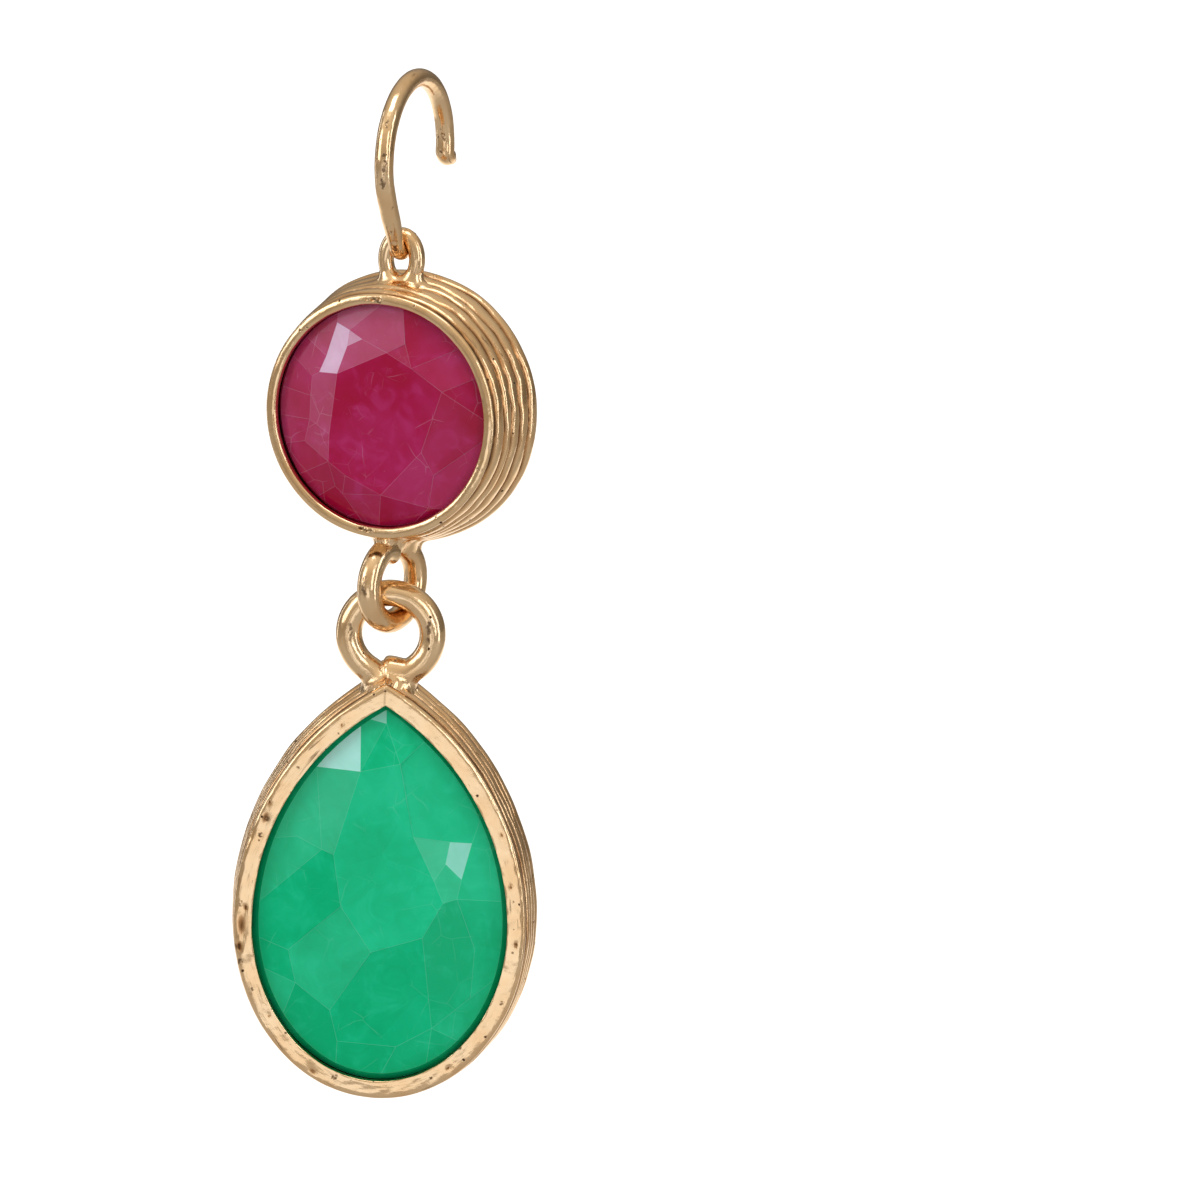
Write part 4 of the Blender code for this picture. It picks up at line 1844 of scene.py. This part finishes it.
# Each facet gives its corners, its paleness, partly painted light, and its painted sheen, a
# reflection painted into its colour.
ROUND_CUT = Cut(
    origin=(250.0, 250.0), scale=5.058,
    corners={
        "a": (415, 375), "a2": (372, 540), "b": (485, 410), "c": (555, 455), "d": (440, 625),
        "e": (340, 620), "f": (300, 640), "f2": (295, 740), "g": (480, 490), "h": (690, 520),
        "i": (775, 480), "j": (815, 600), "k": (970, 720), "l": (865, 1025), "m": (660, 1240),
        "n": (480, 1140), "o": (395, 1070), "p": (400, 930), "q": (290, 860), "r9": (148, 850),
        "w": (260, 970), "s": (915, 1145), "t": (880, 1315), "u": (450, 1240), "v": (415, 1200),
        "ra": (640, 290), "rb": (735, 310), "rd": (1050, 500), "re": (1140, 640),
        "rf": (1165, 875), "rg": (1150, 985), "ri": (950, 1330), "rj": (810, 1390),
        "rk": (630, 1400), "rl": (540, 1375), "rm": (330, 1230), "rn": (255, 1120),
        "ro": (180, 980), "rq": (155, 700), "rr": (205, 560), "rs": (275, 465),
        "ru": (430, 345),
    },
    facets=(
        Facet("d h j k l m n o p", 0.42, 0.02),
        Facet("a b g d e a2", 0.8, 0.75),
        Facet("b c g", 0.8, 0.50),
        Facet("ru ra b a", 0.7, 0.22),
        Facet("ra rb i h c b", 0.8, 0.16),
        Facet("c h d g", 0.8, 0.11),
        Facet("h i j", 0.6, 0.07),
        Facet("rb rd j i", 0.45, 0.03),
        Facet("rd re k j", 0.5, 0.05),
        Facet("re rf k", 0.3, 0.02),
        Facet("rf rg s l k", 0.0),
        Facet("rg ri t s", 0.75, 0.06),
        Facet("l s t m", 0.65, 0.05),
        Facet("t ri rj", 0.1),
        Facet("m t rj rk", 0.25, 0.01),
        Facet("u m rk rl", 0.6, 0.04),
        Facet("n m u", 0.5, 0.03),
        Facet("o n u v", 0.35, 0.03),
        Facet("u rl rm v", 0.25, 0.01),
        Facet("v rm rn o", 0.45, 0.04),
        Facet("o rn ro w", 0.45, 0.05),
        Facet("p o w q", 0.7, 0.12),
        Facet("f e d p q f2", 0.85, 0.15),
        Facet("q w ro r9", 0.55, 0.07),
        Facet("f2 q r9 rq", 0.6, 0.08),
        Facet("f f2 rq rr", 0.6, 0.07),
        Facet("a2 e f rr rs", 0.5, 0.05),
        Facet("a a2 rs ru", 0.45, 0.10),
    ),
)
PEAR_CUT = Cut(
    origin=(210.0, 664.0), scale=3.484,
    corners={
        "a": (612, 214), "c": (524, 375), "e": (388, 648), "f": (430, 665), "g": (455, 845),
        "h": (560, 1005), "i": (740, 955), "j": (812, 835), "k": (708, 603), "l": (662, 350),
        "n": (835, 625), "o": (910, 632), "p": (875, 755), "q": (820, 700), "s": (780, 757),
        "u": (860, 822), "u2": (920, 1000), "v": (300, 605), "w": (270, 1000),
        "x": (295, 1115), "y": (415, 1210), "z": (770, 1275), "aa": (905, 1170),
        "cc": (440, 1320), "dd": (645, 1340), "r0": (615, 180), "r0b": (560, 218),
        "r1": (525, 245), "r2": (388, 412), "r3": (740, 295), "r4": (930, 575),
        "r5": (1030, 825), "r6": (1000, 1130), "r7": (870, 1330), "r8": (745, 1400),
        "r9": (600, 1435), "r10": (430, 1395), "r11": (262, 1225), "r12": (186, 1058),
        "r13": (183, 960), "r14": (190, 842), "r15": (240, 620),
    },
    facets=(
        Facet("c l k s j i h g f", 0.75),
        Facet("r1 c r2", 0.9, 0.88),
        Facet("r0 a r0b", 0.9, 0.60),
        Facet("r0b a c r1", 0.45, 0.05),
        Facet("a l c", 0.35),
        Facet("r0 r3 l a", 0.6, 0.02),
        Facet("r3 r4 o n k l", 0.75, 0.05),
        Facet("k n q s", 0.7, 0.16),
        Facet("n o p q", 0.9, 0.64),
        Facet("s q p u j", 0.6, 0.11),
        Facet("o r4 r5 u p", 0.55, 0.05),
        Facet("u r5 r6 aa u2", 0.3, 0.02),
        Facet("j u u2 aa z i", 0.05),
        Facet("aa r6 r7 z", 0.3, 0.03),
        Facet("z r7 r8", 0.0),
        Facet("i z dd cc y h", 0.35),
        Facet("z r8 r9 dd", 0.3, 0.01),
        Facet("dd r9 r10 cc", 0.2),
        Facet("y cc r10 r11 x", 0.0),
        Facet("x r11 r12", 0.5, 0.05),
        Facet("w x r12 r13", 0.2),
        Facet("g h y x w", 0.4, 0.02),
        Facet("e f g w r13 r14", 0.25),
        Facet("v e r14 r15", 0.3, 0.07),
        Facet("r2 e v r15", 0.3, 0.10),
        Facet("r2 c f e", 0.3, 0.12),
    ),
)
PEAR_NICKS = (
    Nick(262.0, 0.55, 5.0, 0.30, 0.00004), Nick(255.0, 0.70, 2.0, 0.20, 0.00006),
    Nick(268.0, 0.35, 1.5, 0.15, 0.00005), Nick(300.0, 0.55, 3.0, 0.25, 0.00004),
    Nick(305.0, 0.70, 1.2, 0.12, 0.00005), Nick(205.0, 0.60, 2.2, 0.18, 0.00004),
    Nick(150.0, 0.45, 1.2, 0.12, 0.00005), Nick(100.0, 0.50, 1.4, 0.15, 0.00005),
    Nick(80.0, 0.35, 1.0, 0.14, 0.00004), Nick(62.0, 0.55, 1.2, 0.12, 0.00004),
    Nick(342.0, 0.40, 1.0, 0.12, 0.00004), Nick(230.0, 0.30, 1.0, 0.12, 0.00004),
)


@dataclass
class SoftBox:
    """A rectangular lamp that faces the earring."""

    name: str
    azimuth_deg: float
    elevation_deg: float
    distance: float
    size: Pair
    strength: float
    colour: Triple = (0.90, 1.0, 1.20)

    def build(self, aim: Vector) -> None:
        """Place the lamp, where azimuth 0 is in front of the earring and 90 at its right.

        Args:
            aim: What it faces.
        """
        lamp = bpy.data.lights.new(self.name, "AREA")
        lamp.shape = "RECTANGLE"
        lamp.size, lamp.size_y = self.size
        lamp.energy = self.strength * self.size[0] * self.size[1] * pi
        lamp.color = self.colour
        thing = add_to_scene(self.name, lamp)
        turn, lift = radians(self.azimuth_deg), radians(self.elevation_deg)
        way = Vector((sin(turn) * cos(lift), -cos(turn) * cos(lift), sin(lift)))
        thing.location = aim + way * self.distance
        thing.rotation_euler = way.to_track_quat("Z", "Y").to_euler()


@dataclass
class Studio:
    """Camera, soft lamps, a bright room and a pale floor."""

    azimuth_deg: float = 20.9
    elevation_deg: float = 11.6
    roll_deg: float = -2.1
    distance: float = 0.297
    picture_px: float = 1200.0
    focal_px: float = 5500.0
    anchor_px: Pair = (378.0, 417.0)
    proud: float = 0.00022
    sensor: float = 36.0
    floor_gap: float = 0.160
    floor_size: float = 6.0

    def axes(self) -> tuple[np.ndarray, np.ndarray, np.ndarray, np.ndarray]:
        """Work out where the camera stands and how it looks.

        Returns:
            Its place, then its right, up and forward directions.
        """
        stone_low, stone_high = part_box("round_stone")
        anchor = np.array((
            0.0, stone_low.y + self.proud, (stone_low.z + stone_high.z) / 2,
        ))
        a, e = radians(self.azimuth_deg), radians(self.elevation_deg)
        forward = Vector((-sin(a) * cos(e), cos(a) * cos(e), -sin(e)))
        right = Vector((cos(a), sin(a), 0.0))
        upward = right.cross(forward)
        turn = Matrix.Rotation(radians(self.roll_deg), 3, forward)
        right, upward, forward = (np.array(way) for way in (turn @ right, turn @ upward, forward))
        ray = self._ray(self.anchor_px, right, upward, forward)
        return anchor - self.distance * ray, right, upward, forward

    def _ray(
        self, pixel: Pair, right: np.ndarray, upward: np.ndarray,
        forward: np.ndarray,
    ) -> np.ndarray:
        """The direction of a pixel, one unit deep.

        Args:
            pixel: A place in the picture, from its top left.
            right: The camera's right.
            upward: Its up.
            forward: Its forward.

        Returns:
            The direction.
        """
        half = self.picture_px / 2
        aside = (pixel[0] - half) / self.focal_px
        above = (half - pixel[1]) / self.focal_px
        return forward + aside * right + above * upward

    def on_plane(self, pixel: Pair, place: Place, level: float) -> np.ndarray:
        """Where a pixel falls on a plane of a drop's frame.

        Args:
            pixel: A place in the picture, from its top left.
            place: The drop's frame.
            level: The plane's y in that frame.

        Returns:
            The point, in the drop's frame.
        """
        eye, right, upward, forward = self.axes()
        start = (eye - place.origin) @ place.matrix()
        way = self._ray(pixel, right, upward, forward) @ place.matrix()
        return start + way * (level - start[1]) / way[1]

    def blots(
        self, place: Place, levels: dict[float, Sequence[tuple[float, ...]]]
    ) -> tuple[Blot, ...]:
        """Dark marks on planes of a frame.

        Args:
            place: The frame.
            levels: The marks on each plane, by the plane's y in mm. A mark is its pixel
                across and down, its radius in mm, and how drawn out it is, if it is.

        Returns:
            The marks.
        """
        found = []
        for level, marks in levels.items():
            for x, y, radius, *tall in marks:
                point = place.out(self.on_plane((x, y), place, level * MM))
                found.append(Blot(tuple(point.tolist()), radius * MM, *tall))
        return tuple(found)

    def camera(self) -> None:
        """Place the camera so that the round stone's face lands where it does in the photo."""
        eye, right, upward, forward = self.axes()
        data = bpy.data.cameras.new("camera")
        data.sensor_width = self.sensor
        data.lens = self.focal_px / self.picture_px * self.sensor
        data.clip_start = MM
        thing = add_to_scene("camera", data)
        columns = np.column_stack((right, upward, -forward, eye))
        thing.matrix_world = Matrix((*columns.tolist(), (0.0, 0.0, 0.0, 1.0)))
        bpy.context.scene.camera = thing

    def floor(self) -> None:
        """Lay the floor a little below the earring."""
        half = self.floor_size / 2
        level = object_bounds()[0].z - self.floor_gap
        turns = ((-half, -half), (half, -half), (half, half), (-half, half))
        mesh = bpy.data.meshes.new("floor")
        mesh.from_pydata([(x, y, level) for x, y in turns], [], [(0, 1, 2, 3)])
        mesh.materials.append(PaleFloor(self.azimuth_deg).make())
        thing = add_to_scene("floor", mesh)
        thing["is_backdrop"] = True

    def room(self) -> None:
        """Light the room: brighter above and on the camera's side."""
        world = bpy.data.worlds.new("room")
        bpy.context.scene.world = world
        graph = Graph(world)
        way = graph.node("ShaderNodeTexCoord", None, None, "Generated")
        ahead, height = (
            graph.node("ShaderNodeSeparateXYZ", None, {0: way}, name) for name in "YZ"
        )
        light = ahead.step(0.1, -0.8) * 0.30 + height.step(0.10, 0.90) * 0.42 + 0.18
        shader = graph.node(
            "ShaderNodeBackground", None, {"Color": (1.05, 0.97, 0.86, 1.0), "Strength": light}
        )
        graph.output(shader, "ShaderNodeOutputWorld")

    def build(self) -> None:
        """Set up the whole studio."""
        self.camera()
        self.floor()
        self.room()
        low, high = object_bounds()
        aim = (low + high) / 2
        for lamp in (
            SoftBox("left_wall", -45.0, 18.0, 0.60, (0.28, 0.38), 1.95),
            SoftBox("spark", -46.0, 20.0, 0.70, (0.07, 0.07), 6.0),
            SoftBox("left_strip", -98.0, 6.0, 0.60, (0.07, 0.50), 2.2),
            SoftBox("right_wall", 50.0, 10.0, 0.60, (0.14, 0.40), 2.5),
            SoftBox("right_strip", 84.0, 10.0, 0.55, (0.09, 0.55), 2.8),
            SoftBox("card", 14.0, -14.5, 0.34, (0.18, 0.12), 0.82),
            SoftBox("top", 10.0, 74.0, 0.60, (0.36, 0.26), 2.6),
        ):
            lamp.build(aim)
        bpy.context.scene.view_settings.view_transform = "Standard"


def main() -> None:
    """Build the earring and its studio."""
    logging.basicConfig(level=logging.INFO, format="%(name)s %(message)s")
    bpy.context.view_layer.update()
    studio = Studio()
    hinge = joint_place("round_swing")
    # Dark streaks on the hook: partly painted dark reflections, partly tarnishing.
    marks = studio.blots(hinge, HOOK_TARNISH_AND_DARK_REFLECTIONS)
    hook_gold = AntiquedGold("hook_gold", speck_share=0.14, streaks=0.8, blots=marks).make()
    setting_gold = AntiquedGold("setting_gold")
    # Each stone's sheen colour is painted onto its facets as reflection and edge highlight, and
    # also colours its pale threads and specks.
    red = MilkyStone(
        "milky_red", colour=(0.425, 0.004, 0.080), deep=(0.362, 0.001, 0.034),
        milk=(0.48, 0.034, 0.162), sheen=(0.86, 0.66, 0.84), ior=1.50, clouds=0.40,
        threads=0.11, glow=(1.0, 0.15, 0.30),
    ).make()
    green = MilkyStone(
        "milky_green", colour=(0.004, 0.59, 0.270), deep=(0.001, 0.46, 0.185),
        milk=(0.030, 0.61, 0.32), sheen=(0.50, 0.88, 0.80), ior=1.46, clouds=0.22,
        threads=0.05, glow=(0.20, 1.0, 0.50),
    ).make()
    EarHook().build(hinge, hook_gold)
    RoundDrop().build(setting_gold, red, studio)
    PearDrop().build(setting_gold, green, studio)
    studio.build()


if __name__ == "__main__":
    main()
